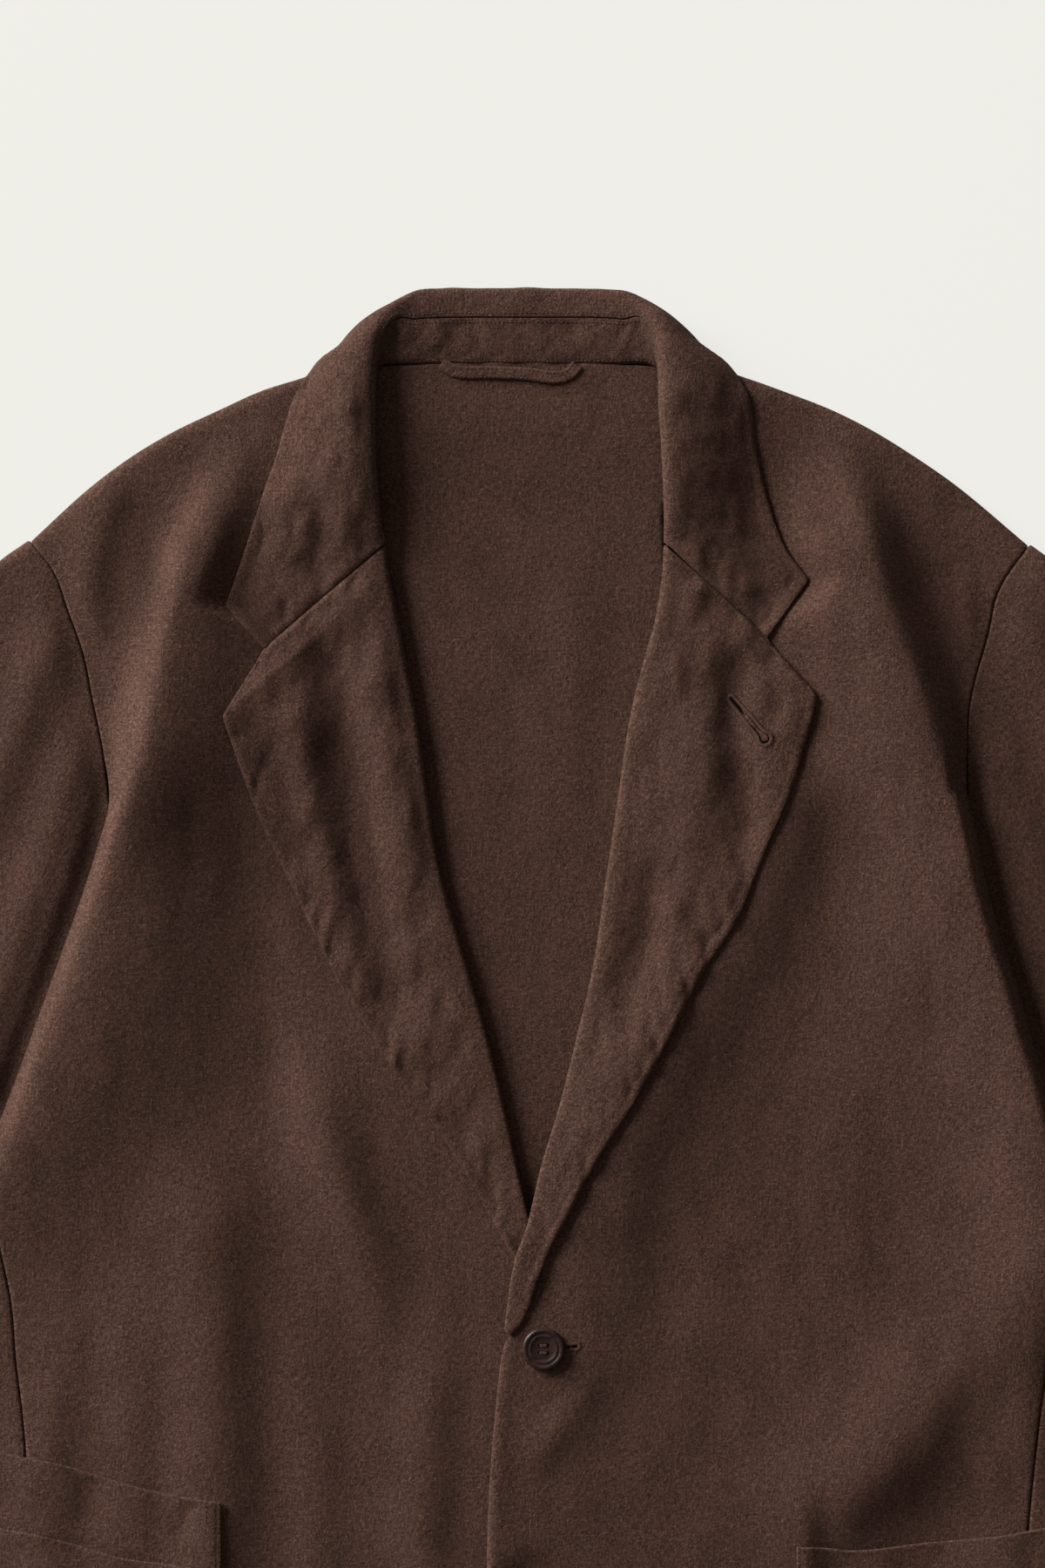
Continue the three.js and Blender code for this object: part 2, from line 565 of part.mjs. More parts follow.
function frontGrid(side) {
  const { shoulder, armhole, bodyEdge, sideSeam, frontCorner } = OUTLINES[side];
  const inner = frontInnerSide(side);
  const outer = [...pairs(armhole), ...pairs(bodyEdge.slice(1)), ...pairs(sideSeam)];
  const bottom = [outer[outer.length - 1], ...pairs(frontCorner).reverse(), inner[inner.length - 1]];
  const plan = patch(smoothPath(pairs(shoulder)), smoothPath(bottom), straightPath(outer), smoothPath(inner));
  const length = pathLength(outer);
  const armholeEnd = pathLength(pairs(armhole)) / length;
  const seamStart = pathLength([...pairs(armhole), ...pairs(bodyEdge), pairs(sideSeam)[0]]) / length;
  const rows = stations(length, [
    ...even(STEPS.armhole).map((t) => t * armholeEnd),
    ...even(STEPS.bodyEdge).slice(1).map((t) => mix(armholeEnd, seamStart, t)),
    ...even(STEPS.sideSeam).slice(1).map((t) => mix(seamStart, 1, t)),
  ]);
  return rows.map(({ place, rise }) =>
    even(STEPS.frontAcross).map((u) => {
      const point = plan(u, place);
      const floor = FLOOR + neckLift(point.x, point.y);
      const top = frontHeight(side, point.x, point.y) + neckLift(point.x, point.y) * NECK.frontShare;
      return point.setZ(mix(floor, top, rise));
    }),
  );
}

// The corners of a front's facets down its armhole: the sleeve's head is cut through the same ones.
function armholeCorners(grid, side) {
  const foldRows = FOLD_TURN.length - 2;
  const lowest = OUTLINES[side].bodyEdge[0].y;
  return grid.slice(foldRows).map((row) => [row[0].x, row[0].y]).filter(([, y]) => y > lowest - 1);
}

// The panel between front and back, folded round the side of the body.
function sidePanel(side) {
  const { sign, bodyFold, sideSeam, sleeveInner } = OUTLINES[side];
  const seam = smoothPath(pairs(sideSeam).map(([x, y]) => [x + sign * CURVED_SEAM, y]));
  const fold = smoothPath(pairs(bodyFold));
  const clearOfSleeve = bodyFold[0].y - SIDE_TUCK.length;
  const grid = even(STEPS.sidePanel).map((v) => {
    const [start, end] = [seam(v), fold(v)];
    const width = start.distanceTo(end);
    const free = 1 - TOP_WIDTH / width;
    return stations(width, [0, free / 2], { foldEnd: true }).map(({ place, rise }) => {
      const point = start.clone().lerp(end, place);
      const floor = mix(FLOOR, EDGE_HEIGHT, ease((point.y - clearOfSleeve) / SIDE_TUCK.rise));
      return point.setZ(mix(floor, frontHeight(side, point.x, point.y), rise));
    });
  });
  return piece(`side_panel_${side}`, wallGeometry(grid, CLOTH), COLOURS.cloth);
}

// ---------------------------------------------------------------- sleeves

function sleeveHead(side, corners) {
  const { sign, sleeveOuter, armpit } = OUTLINES[side];
  return [pairs(sleeveOuter)[0], ...corners, ...pairs(armpit)].map(([x, y]) => [x + sign * SLEEVE_SEAM, y]);
}

function sleevePlan(side, head) {
  const { sign, sleeveOuter, sleeveInner } = OUTLINES[side];
  const bottom = [sleeveOuter[sleeveOuter.length - 1], sleeveInner[sleeveInner.length - 1]];
  const shifted = (points) => pairs(points).map(([x, y]) => [x + (sign * SEAM) / 2, y]);
  return patch(
    straightPath(head),
    straightPath(pairs(bottom)),
    smoothPath(shifted(sleeveOuter)),
    smoothPath(shifted(sleeveInner)),
  );
}

function upperSleeve(side, corners) {
  const head = sleeveHead(side, corners);
  const plan = sleevePlan(side, head);
  const headLength = pathLength(head);
  const seamPlaces = cornerPlaces(head).slice(2, -1);
  const grid = even(STEPS.sleeve).map((v) => {
    const width = mix(headLength, plan(0, v).distanceTo(plan(1, v)), ease(v * 4));
    return stations(width, seamPlaces, { foldStart: true, foldEnd: true }).map(({ place, rise }) => {
      const point = plan(place, v);
      return point.setZ(mix(FLOOR, sleeveHeight(side, point.x, point.y), rise));
    });
  });
  return piece(`sleeve_upper_${side}`, wallGeometry(grid, CLOTH), COLOURS.cloth);
}

function underSleeve(side, corners) {
  const plan = sleevePlan(side, sleeveHead(side, corners));
  const grid = even(STEPS.underSleeve).map((v) => {
    const margin = (RETURN_WIDTH + CURVED_SEAM) / plan(0, v).distanceTo(plan(1, v));
    return even(3).map((u) => plan(mix(margin, 1 - margin, u), v).setZ(FLOOR));
  });
  return piece(`sleeve_under_${side}`, wallGeometry(grid, CLOTH), COLOURS.cloth);
}

// ---------------------------------------------------------------- lapels and collar

const bezier = (points, t) => new THREE.CubicBezierCurve3(...points).getPoint(t);

// A lapel from the front's turned-under edge, round the roll line and out to its own edge.
function lapel(side) {
  const { sign } = OUTLINES[side];
  const turnedUnder = [0, 0.5, 0.85];
  const acrossFall = [0, 0.06, 0.14, 0.26, 0.42, 0.6, 0.8, 1];
  const grid = LAPELS[side].map((row) => {
    const frontLevel = frontHeight(side, row.foldX + sign * row.turn, row.foldY);
    const fold = new THREE.Vector3(row.foldX, row.foldY, row.foldZ);
    const under = new THREE.Vector3(row.foldX + sign * row.turn, row.foldY, frontLevel);
    const edge = new THREE.Vector3(row.edgeX, row.edgeY, 0);
    edge.z = frontHeight(side, edge.x, edge.y) + CLOTH / 2 + REST + LAPEL_CLOTH / 2;
    const below = fold.clone().setZ(mix(frontLevel, row.foldZ, 0.25));
    const above = fold.clone().setZ(row.foldZ + row.swell);
    const before = edge.clone().lerp(fold, 0.4).setZ(mix(edge.z, row.foldZ, 0.35));
    const leaving = under.clone().lerp(fold, 0.6).setZ(frontLevel);
    const turn = turnedUnder.map((t) => bezier([under, leaving, below, fold], t));
    const fall = acrossFall.map((t, index) => {
      const point = bezier([fold, above, before, edge], t);
      if (index < 2) return point;
      return point.setZ(Math.max(point.z, frontHeight(side, point.x, point.y) + LAPEL_REST));
    });
    return [...turn, ...fall];
  });
  return piece(`lapel_${side}`, wallGeometry(grid, LAPEL_CLOTH), COLOURS.facing);
}

function collarSections() {
  const whole = [...[...COLLAR.right].reverse(), ...COLLAR_BACK, ...COLLAR.left];
  return whole.map((row) => {
    const read = (name) => new THREE.Vector3(row[`${name}X`], row[`${name}Y`], row[`${name}Z`]);
    const [seam, fold, over, under, edge] = ["seam", "fold", "over", "under", "edge"].map(read);
    const inner = fold.clone().addScaledVector(over, -0.6);
    return {
      stand: [seam, seam.clone().lerp(inner, 0.5), inner, fold],
      fall: [fold, fold.clone().add(over), edge.clone().add(under), edge],
    };
  });
}

// Where the collar's edge lies on a front, the whole fall stays clear of that front.
function overFront(point, edge) {
  const onTop = edge.z > FRONT_HEIGHT;
  const front = frontHeight(point.x < 0 ? "right" : "left", point.x, point.y);
  return onTop ? point.setZ(Math.max(point.z, front + CLOTH / 2 + COLLAR_REST + COLLAR_CLOTH / 2)) : point;
}

function collar() {
  const grid = collarSections().map(({ stand, fall }) => [
    ...[STAND_SEAM + STAND_GAP, 0.75, 0.88].map((t) => bezier(stand, t)),
    ...[0, 0.06, 0.14, 0.25, 0.4, 0.58, 0.78, 1].map((t) => overFront(bezier(fall, t), fall[3])),
  ]);
  return piece("collar", wallGeometry(grid, COLLAR_CLOTH), COLOURS.collar);
}

function collarStand() {
  const grid = collarSections().map(({ stand }) => [0, 0.2, 0.42, STAND_SEAM].map((t) => bezier(stand, t)));
  return piece("collar_stand", wallGeometry(grid, CLOTH), COLOURS.stand);
}

// ---------------------------------------------------------------- pockets, loop and buttons

function pocket(name, { side, mouth, depth, layer }) {
  const { sign } = OUTLINES[side];
  const cut = POCKET_CORNER * (1 - Math.SQRT1_2);
  const edge = ([x, y], inward) => [
    [x, y],
    [x, y - depth + POCKET_CORNER],
    [x + cut * inward, y - depth + cut],
    [x + POCKET_CORNER * inward, y - depth],
  ];
  const innerSide = edge(mouth[0], sign);
  const outerSide = edge(mouth[mouth.length - 1], -sign);
  const bottom = [innerSide[2], innerSide.pop(), outerSide.pop(), outerSide[2]];
  const plan = patch(
    smoothPath(mouth),
    straightPath(bottom),
    straightPath(innerSide),
    straightPath(outerSide),
  );
  const grid = even(STEPS.pocketAlong).map((v) =>
    even(STEPS.pocketAcross).map((u) => {
      const point = plan(u, v);
      return point.setZ(frontHeight(side, point.x, point.y) + layer * (LAYER + POCKET_LIFT));
    }),
  );
  return piece(name, wallGeometry(grid, CLOTH), COLOURS.cloth);
}

function hangerLoop() {
  const line = smoothPath(LOOP_LINE);
  const height = FLOOR + NECK.lift + CLOTH / 2 + LOOP.gap + LOOP.thickness / 2;
  const grid = even(STEPS.loop).map((t) => {
    const centre = line(t);
    const ahead = line(Math.min(1, t + 0.01)).sub(line(Math.max(0, t - 0.01))).normalize();
    const square = new THREE.Vector3(-ahead.y, ahead.x, 0);
    return [-0.5, 0, 0.5].map((part) =>
      centre.clone().addScaledVector(square, part * LOOP.width).setZ(height),
    );
  });
  return piece("hanger_loop", wallGeometry(grid, LOOP.thickness), COLOURS.cloth);
}

const wasm = await Module();
wasm.setup();

function toSolid(geometry) {
  const plain = geometry.clone();
  plain.deleteAttribute("normal");
  plain.deleteAttribute("uv");
  const merged = mergeVertices(plain, 1e-4);
  return new wasm.Manifold(
    new wasm.Mesh({
      numProp: 3,
      vertProperties: new Float32Array(merged.attributes.position.array),
      triVerts: new Uint32Array(merged.index.array),
    }),
  );
}

function toGeometry(solid) {
  const { vertProperties, triVerts } = solid.getMesh();
  const geometry = new THREE.BufferGeometry();
  geometry.setAttribute("position", new THREE.Float32BufferAttribute(vertProperties, 3));
  geometry.setIndex([...triVerts]);
  geometry.computeVertexNormals();
  return geometry;
}

// A round button with a raised rim and four sewing holes.
function button(name, y) {
  const { radius, thickness, rim, dish, hole, holeCircle, sides, gap } = BUTTON;
  const profile = [
    [0, 0], [radius - 1.4, 0], [radius - 0.3, 0.7], [radius, 1.6], [radius - 0.4, thickness - 0.4],
    [radius - 1.2, thickness], [radius - rim, thickness - 0.5], [radius - rim - 0.8, thickness - dish],
    [0, thickness - dish],
  ];
  const disc = new THREE.LatheGeometry(profile.map(([r, z]) => new THREE.Vector2(r, z)), sides);
  disc.rotateX(Math.PI / 2);
  let solid = toSolid(disc);
  for (let index = 0; index < 4; index += 1) {
    const turn = (index + 0.5) * (Math.PI / 2);
    const drill = new THREE.CylinderGeometry(hole, hole, thickness * 3, 8).rotateX(Math.PI / 2);
    drill.translate(Math.cos(turn) * holeCircle, Math.sin(turn) * holeCircle, 0);
    solid = solid.subtract(toSolid(drill));
  }
  const mesh = piece(name, toGeometry(solid), COLOURS.button, 0.35);
  const rimHeights = even(8).map((t) => {
    const turn = t * 2 * Math.PI;
    return frontHeight("left", BUTTON_X + Math.cos(turn) * radius, y + Math.sin(turn) * radius);
  });
  mesh.position.set(BUTTON_X, y, Math.max(...rimHeights) + CLOTH / 2 + gap);
  return mesh;
}

// ---------------------------------------------------------------- the jacket

const jacket = new THREE.Group();
jacket.add(backPanel());
for (const side of ["right", "left"]) {
  const grid = frontGrid(side);
  const corners = armholeCorners(grid, side);
  jacket.add(piece(`front_${side}`, wallGeometry(grid, CLOTH), COLOURS.cloth));
  jacket.add(sidePanel(side), upperSleeve(side, corners), underSleeve(side, corners), lapel(side));
}
jacket.add(collarStand(), collar(), hangerLoop());
for (const [name, size] of Object.entries(POCKETS)) jacket.add(pocket(name, size));
jacket.add(button("button_upper", UPPER_BUTTON_Y), button("button_lower", UPPER_BUTTON_Y - BUTTON_SPACING));

// The origin is the middle of the whole outline, on the surface.
const outline = new THREE.Box3().setFromObject(jacket);
const middle = outline.getCenter(new THREE.Vector3());
jacket.position.set(-middle.x, -middle.y, -outline.min.z);
jacket.updateMatrixWorld(true);

export default jacket;
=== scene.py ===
# A brushed linen jacket laid flat on its back, buttoned left over right.
# Sizes are millimetres in the jacket's layout: +X is the wearer's left, +Y runs up to the collar.
import math

import bpy
import numpy as np
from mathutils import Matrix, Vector


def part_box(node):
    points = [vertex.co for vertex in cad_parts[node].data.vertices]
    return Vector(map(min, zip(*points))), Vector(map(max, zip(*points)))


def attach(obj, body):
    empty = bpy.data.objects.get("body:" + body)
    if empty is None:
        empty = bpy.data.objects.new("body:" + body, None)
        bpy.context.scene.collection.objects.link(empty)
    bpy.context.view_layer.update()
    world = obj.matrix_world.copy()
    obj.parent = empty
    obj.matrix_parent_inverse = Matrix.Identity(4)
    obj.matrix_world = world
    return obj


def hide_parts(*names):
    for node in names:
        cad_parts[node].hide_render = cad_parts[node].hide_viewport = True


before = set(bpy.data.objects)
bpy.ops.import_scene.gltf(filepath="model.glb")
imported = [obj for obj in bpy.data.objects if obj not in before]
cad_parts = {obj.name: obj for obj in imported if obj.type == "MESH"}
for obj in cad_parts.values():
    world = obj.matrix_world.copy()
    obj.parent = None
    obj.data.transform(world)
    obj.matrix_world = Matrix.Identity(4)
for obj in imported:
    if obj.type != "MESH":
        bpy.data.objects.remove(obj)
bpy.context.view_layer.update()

# ---------------------------------------------------------------- driving sizes

MM = 0.001
CLOTH = 1.6  # one layer of brushed linen, with its nap
LAPEL_CLOTH = 1.8
COLLAR_CLOTH = 2.0
FLOOR = 0.8  # the middle of a layer that lies on the floor
FRONT_HEIGHT = 5.0
SLEEVE_HEIGHT = 6.0
TUCKED_HEIGHT = 3.4
EDGE_HEIGHT = 6.0
OVERLAP_TOP = -40  # below this height the right front lies under the left one
BUTTON_FLAT, BUTTON_FADE = 28, 17  # the cloth round a button: how far it is smoothed, and how softly
RETURN_WIDTH = 12  # how far a folded edge comes back under itself
HEM_Y = -393
BACK_HEM_Y = -397
BUTTON_PLACE = (11, -99)
CAMERA_SPAN = 738  # the long side of what the camera takes in
CAMERA_HEIGHT = 2200
CAMERA_OVER = (1.2, 165.4)


def box_of(node):
    """A node's lowest and highest corner in millimetres of the frame."""
    return (np.array(corner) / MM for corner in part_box(node))


BUTTONS = ("button_upper", "button_lower")
low, high = box_of(BUTTONS[0])
OFFSET = np.array([*((low + high) / 2)[:2] - BUTTON_PLACE, 0.0])

# ---------------------------------------------------------------- camera, stage and light


def place(x, y, z=0.0):
    return Vector(((x + OFFSET[0]) * MM, (y + OFFSET[1]) * MM, z * MM))


def make_camera():
    data = bpy.data.cameras.new("camera")
    data.lens = data.sensor_width * CAMERA_HEIGHT / CAMERA_SPAN
    data.clip_start, data.clip_end = 0.05, 20
    camera = bpy.data.objects.new("camera", data)
    camera.location = place(*CAMERA_OVER, CAMERA_HEIGHT)
    bpy.context.scene.collection.objects.link(camera)
    bpy.context.scene.camera = camera


def sun_direction(left_up, elevation):
    """The way light travels: from the left, turned left_up degrees towards the collar."""
    turn, rise = math.radians(left_up), math.radians(elevation)
    flat = math.cos(rise)
    return Vector((math.cos(turn) * flat, -math.sin(turn) * flat, -math.sin(rise)))


def make_light(name, towards, strength, spread, colour):
    """A large soft lamp, far enough off that the light only thins a little across the jacket."""
    away = 8.0
    data = bpy.data.lights.new(name, "AREA")
    data.shape = "DISK"
    data.size = 2 * away * math.tan(math.radians(spread / 2))
    data.energy, data.color = strength * math.pi * away**2, colour
    light = bpy.data.objects.new(name, data)
    light.rotation_mode = "QUATERNION"
    light.rotation_quaternion = towards.to_track_quat("-Z", "Y")
    light.location = place(0, 80) - towards * away
    bpy.context.scene.collection.objects.link(light)


def make_stage():
    size, below = 40.0, -0.0004
    mesh = bpy.data.meshes.new("floor")
    corners = [(a * size, b * size, below) for a, b in ((-1, -1), (1, -1), (1, 1), (-1, 1))]
    mesh.from_pydata(corners, [], [(0, 1, 2, 3)])
    mesh.materials.append(make_material("pale paper", paint_paper))
    floor = bpy.data.objects.new("floor", mesh)
    bpy.context.scene.collection.objects.link(floor)
    world = bpy.data.worlds.new("soft room")
    world.use_nodes = True
    background = world.node_tree.nodes["Background"]
    background.inputs["Color"].default_value = (1.0, 0.87, 0.80, 1)
    background.inputs["Strength"].default_value = 0.2
    bpy.context.scene.world = world
    bpy.context.scene.view_settings.view_transform = "Standard"
    bpy.context.scene.view_settings.look = "None"


make_camera()
make_light(
    "window", sun_direction(left_up=37, elevation=16.5), strength=9.5, spread=36, colour=(1.0, 0.98, 0.955),
)

# ---------------------------------------------------------------- small helpers


def mix(a, b, t):
    return a + (b - a) * t


def xy(grid):
    return grid[..., 0], grid[..., 1]


def ease(t):
    t = np.clip(t, 0, 1)
    return t * t * (3 - 2 * t)


def noise(x, y, seed):
    """Smooth uneven values from -1 to 1, one change for each unit."""
    table = np.random.RandomState(seed).uniform(-1, 1, (64, 64))
    x, y = np.broadcast_arrays(np.asarray(x, float), np.asarray(y, float))
    column, row = np.floor(x).astype(int), np.floor(y).astype(int)
    across, along = x - column, y - row
    across = across**3 * (across * (across * 6 - 15) + 10)
    along = along**3 * (along * (along * 6 - 15) + 10)
    at = lambda i, j: table[(column + i) % 64, (row + j) % 64]
    return mix(mix(at(0, 0), at(1, 0), across), mix(at(0, 1), at(1, 1), across), along)


def rounded(points, steps=8):
    """A centripetal curve through the points, as a fine chain of points."""
    points = np.asarray(points, float)
    if len(points) < 3:
        return points
    points = np.vstack([2 * points[0] - points[1], points, 2 * points[-1] - points[-2]])
    chain = []
    for a, b, c, d in zip(points[:-3], points[1:-2], points[2:-1], points[3:]):
        k = np.cumsum([0] + [np.linalg.norm(q - p) ** 0.5 for p, q in ((a, b), (b, c), (c, d))])
        t = np.linspace(k[1], k[2], steps, endpoint=False)[:, None]
        ab = (k[1] - t) / (k[1] - k[0]) * a + (t - k[0]) / (k[1] - k[0]) * b
        bc = (k[2] - t) / (k[2] - k[1]) * b + (t - k[1]) / (k[2] - k[1]) * c
        cd = (k[3] - t) / (k[3] - k[2]) * c + (t - k[2]) / (k[3] - k[2]) * d
        abc = (k[2] - t) / (k[2] - k[0]) * ab + (t - k[0]) / (k[2] - k[0]) * bc
        bcd = (k[3] - t) / (k[3] - k[1]) * bc + (t - k[1]) / (k[3] - k[1]) * cd
        chain.append((k[2] - t) / (k[2] - k[1]) * abc + (t - k[1]) / (k[2] - k[1]) * bcd)
    return np.vstack([*chain, points[-2]])


def reached(points, axis=0):
    """How far along its chain each point lies."""
    steps = np.linalg.norm(np.diff(points, axis=axis), axis=-1)
    start = np.zeros_like(steps.take([0], axis))
    return np.concatenate([start, np.cumsum(steps, axis=axis)], axis=axis)


def walked(at, reach, points):
    """The points of a chain at these lengths along it."""
    return np.stack([np.interp(at, reach, column) for column in points.T], -1)


class Path:
    """A chain of points walked by its length, from 0 to 1."""

    def __init__(self, points, smooth=True):
        self.points = rounded(points) if smooth else np.asarray(points, float)
        self.reached = reached(self.points)
        self.length = self.reached[-1]

    def at(self, t):
        return walked(np.clip(t, 0, 1) * self.length, self.reached, self.points)


def patch(top, bottom, outer, inner, u, v):
    """Fills four paths: top and bottom run from the outer side to the inner one, the sides run down."""
    u, v = np.broadcast_arrays(u, v)
    a, b = u[..., None], v[..., None]
    corners = (
        top.at(0) * (1 - a) * (1 - b) + top.at(1) * a * (1 - b)
        + bottom.at(0) * (1 - a) * b + bottom.at(1) * a * b
    )
    sides = top.at(u) * (1 - b) + bottom.at(u) * b + outer.at(v) * (1 - a) + inner.at(v) * a
    return sides - corners


def along_line(x, y, line):
    """Distance to a line, its side (positive towards +X where the line runs down), and how far along."""
    line = np.asarray(line, float)
    nearest = np.full(x.shape, 1e9)
    side, reach = np.zeros(x.shape), np.zeros(x.shape)
    lengths = np.linalg.norm(np.diff(line, axis=0), axis=1)
    done = 0.0
    for start, end, length in zip(line[:-1], line[1:], lengths):
        step = end - start
        t = np.clip(((x - start[0]) * step[0] + (y - start[1]) * step[1]) / length**2, 0, 1)
        off_x, off_y = x - start[0] - t * step[0], y - start[1] - t * step[1]
        distance = np.hypot(off_x, off_y)
        near = distance < nearest
        nearest = np.where(near, distance, nearest)
        side = np.where(near, step[0] * off_y - step[1] * off_x, side)
        reach = np.where(near, (done + t * length) / lengths.sum(), reach)
        done += length
    return nearest, side, reach


def fold_height(folds, x, y):
    """Soft ridges and troughs: line, height, width towards -X, width towards +X, fade in, fade out."""
    total = np.zeros(x.shape)
    for line, height, minus, plus, fade_in, fade_out in folds:
        distance, side, reach = along_line(x, y, rounded(line, 4))
        ends = ease(reach / fade_in) * ease((1 - reach) / fade_out)
        total += height * np.exp(-((distance / np.where(side > 0, plus, minus)) ** 2)) * ends
    return total


def stations(length, step, near):
    """Places from 0 to length, with the near ones at both ends and even steps between."""
    near = np.asarray(near, float)
    free = length - 2 * near[-1]
    count = max(2, int(round(free / step)))
    middle = near[-1] + free * np.arange(1, count) / count
    return np.concatenate([near, middle, (length - near)[::-1]])


# ---------------------------------------------------------------- outlines

SIGN = {"right": -1, "left": 1}  # which way is out from the jacket's middle
OUTLINES = {
    "right": {
        "shoulder": [(-230, 279), (-204, 302), (-183, 318), (-163, 330), (-142, 340), (-122, 349), (-103, 355),
                     (-88, 360), (-74, 362)],
        "neckline": [(-74, 362), (-76.2, 350), (-77.4, 335), (-76.8, 318), (-75.8, 300), (-74, 285)],
        "armhole": [(-230, 279), (-219, 265), (-212, 246), (-205, 226), (-201, 206), (-196, 182), (-193, 158)],
        "armpit": [(-192, 120), (-203, 72)],
        "body_edge": [(-193, 158), (-199, 135), (-206, 113), (-216, 85), (-228, 52), (-237, 27), (-245, 6),
                      (-251, -15)],
        "body_fold": [(-256.8, -26), (-264, -50), (-274, -85), (-284, -140), (-290, -200), (-297, HEM_Y)],
        "side_seam": [(-249.6, -26), (-244, -54), (-239, -79), (-237, -104), (-234, -127), (-232, -147),
                      (-228, -250), (-224, HEM_Y)],
        "front_edge": [(24, -104), (28, -130), (28, -240), (28, -345)],
        "front_corner": [(22, -370), (4, -386), (-20, HEM_Y)],
        "sleeve_outer": [(-230, 279), (-246, 268), (-282, 229), (-314, 182), (-343, 129), (-400, 6),
                         (-460, -123), (-520, -252)],
        "sleeve_inner": [(-203, 72), (-259, -38), (-330, -176), (-398, -309)],
    },
    "left": {
        "shoulder": [(239, 277), (206, 304), (186, 318), (165, 331), (145, 341), (124, 349), (104, 356),
                     (88, 361), (72, 362)],
        "neckline": [(72, 362), (74.6, 350), (76.2, 335), (77, 318), (76.9, 300), (77.6, 289)],
        "armhole": [(239, 277), (230, 265), (224, 254), (220, 236), (214, 215), (211, 201), (210, 182),
                    (210, 161)],
        "armpit": [(206, 120), (214, 72)],
        "body_edge": [(210, 161), (214, 146), (219, 120), (227, 91), (234, 71), (241, 45), (247, 28), (254, 0),
                      (259, -22)],
        "body_fold": [(264.6, -34), (268, -52), (276, -85), (285, -140), (291, -200), (298, HEM_Y)],
        "side_seam": [(257.4, -34), (253, -62), (248, -97), (246, -116), (243, -138), (239, -183),
                      (235, -270), (231, HEM_Y)],
        "front_edge": [(-5.4, -94), (-7.4, -98.5), (-10.4, -121), (-14, -166), (-15, -204),
                       (-15, -345)],
        "front_corner": [(-9, -370), (9, -386), (34, HEM_Y)],
        "sleeve_outer": [(239, 277), (249, 270), (284, 232), (316, 185), (345, 131), (401, 8), (461, -122),
                         (520, -252)],
        "sleeve_inner": [(214, 72), (269, -38), (337, -176), (402, -309)],
    },
}

# Where an edge folds over: distance in from the outline, and the rise from the under layer to the top.
FOLD_IN, FOLD_RISE = np.array([
    (12, 0), (8, 0), (5, 0), (3.2, 0.03), (1.9, 0.12), (0.9, 0.27), (0.25, 0.41), (0, 0.5), (0.25, 0.59),
    (0.9, 0.73), (1.9, 0.88), (3.2, 0.97), (5, 1),
]).T

# Soft ridges (and troughs below zero) of the fronts: line, height, width towards -X, width towards +X,
# share of the line over which it fades in, and out.
FRONT_FOLDS = {
    "right": [
        ([(-124, 334), (-140, 300), (-152, 276), (-160, 248), (-167, 219), (-173, 190), (-181, 160), (-190, 135),
          (-200, 108)], 12.0, 11, 34, 0.34, 0.35),
        ([(-158, 246), (-170, 190), (-182, 145), (-194, 104), (-208, 62), (-222, 26), (-236, -14), (-252, -74)],
         10.0, 18, 56, 0.3, 0.3),
        ([(-186, 316), (-196, 290), (-202, 262), (-200, 232), (-200, 214)], 3.0, 12, 10, 0.2, 0.5),
        ([(-152, 10), (-146, -40), (-143, -120), (-150, -380)], 5.4, 22, 18, 0.14, 0.01),
        ([(-134, 190), (-131, 128), (-124, 70), (-114, 14), (-104, -30)], -4.6, 38, 20, 0.5, 0.3),
        ([(-168, 20), (-174, -40), (-180, -90), (-186, -150), (-190, -380)], 2.6, 15, 17, 0.4, 0.01),
        ([(-212, -60), (-216, -100), (-222, -160), (-228, -380)], 3.0, 16, 14, 0.3, 0.01),
        ([(-112, 60), (-96, 16), (-80, -30), (-66, -66), (-58, -110)], 4.6, 15, 13, 0.3, 0.4),
        ([(-44, -40), (-40, -92), (-44, -180), (-42, -380)], 2.4, 13, 11, 0.3, 0.01),
        ([(-112, -60), (-100, -130), (-96, -200), (-98, -380)], 1.8, 10, 12, 0.3, 0.01),
    ],
    "left": [
        ([(134, 334), (146, 316), (157, 292), (170, 252), (184, 212), (196, 172), (207, 142), (220, 100),
          (234, 58), (246, 8), (257, -50), (270, -120)], 14.5, 44, 14, 0.14, 0.15),
        ([(150, 304), (163, 272), (174, 240), (186, 206), (198, 168)], 2.2, 20, 12, 0.25, 0.3),
        ([(206, 270), (212, 240), (214, 214)], 1.8, 9, 6, 0.3, 0.4),
        ([(164, 140), (168, 60), (170, 0), (172, -50)], 3.0, 30, 30, 0.3, 0.4),
        ([(128, 196), (118, 140), (99, 96), (80, 60), (58, 20), (40, -16), (20, -52)], 7.0, 30, 26, 0.15, 0.2),
        ([(132, -190), (160, -188), (200, -183), (250, -175)], -4.0, 60, 24, 0.12, 0.15),
        ([(214, -76), (206, -96), (192, -120), (172, -150), (146, -184), (126, -212)], 7.4, 30, 22, 0.36, 0.3),
        ([(-4, -96), (-8, -125), (-11, -160), (-12, -380)], 4.2, 14, 40, 0.16, 0.01),
        ([(36, -104), (20, -134), (-2, -160)], 1.8, 8, 9, 0.3, 0.3),
        ([(76, -60), (68, -110), (62, -170), (50, -380)], 1.8, 16, 18, 0.3, 0.01),
        ([(104, -140), (90, -180), (84, -230), (80, -380)], 1.8, 13, 14, 0.3, 0.01),
        ([(246, -20), (238, -90), (234, -150), (232, -380)], 4.0, 24, 14, 0.3, 0.01),
    ],
}
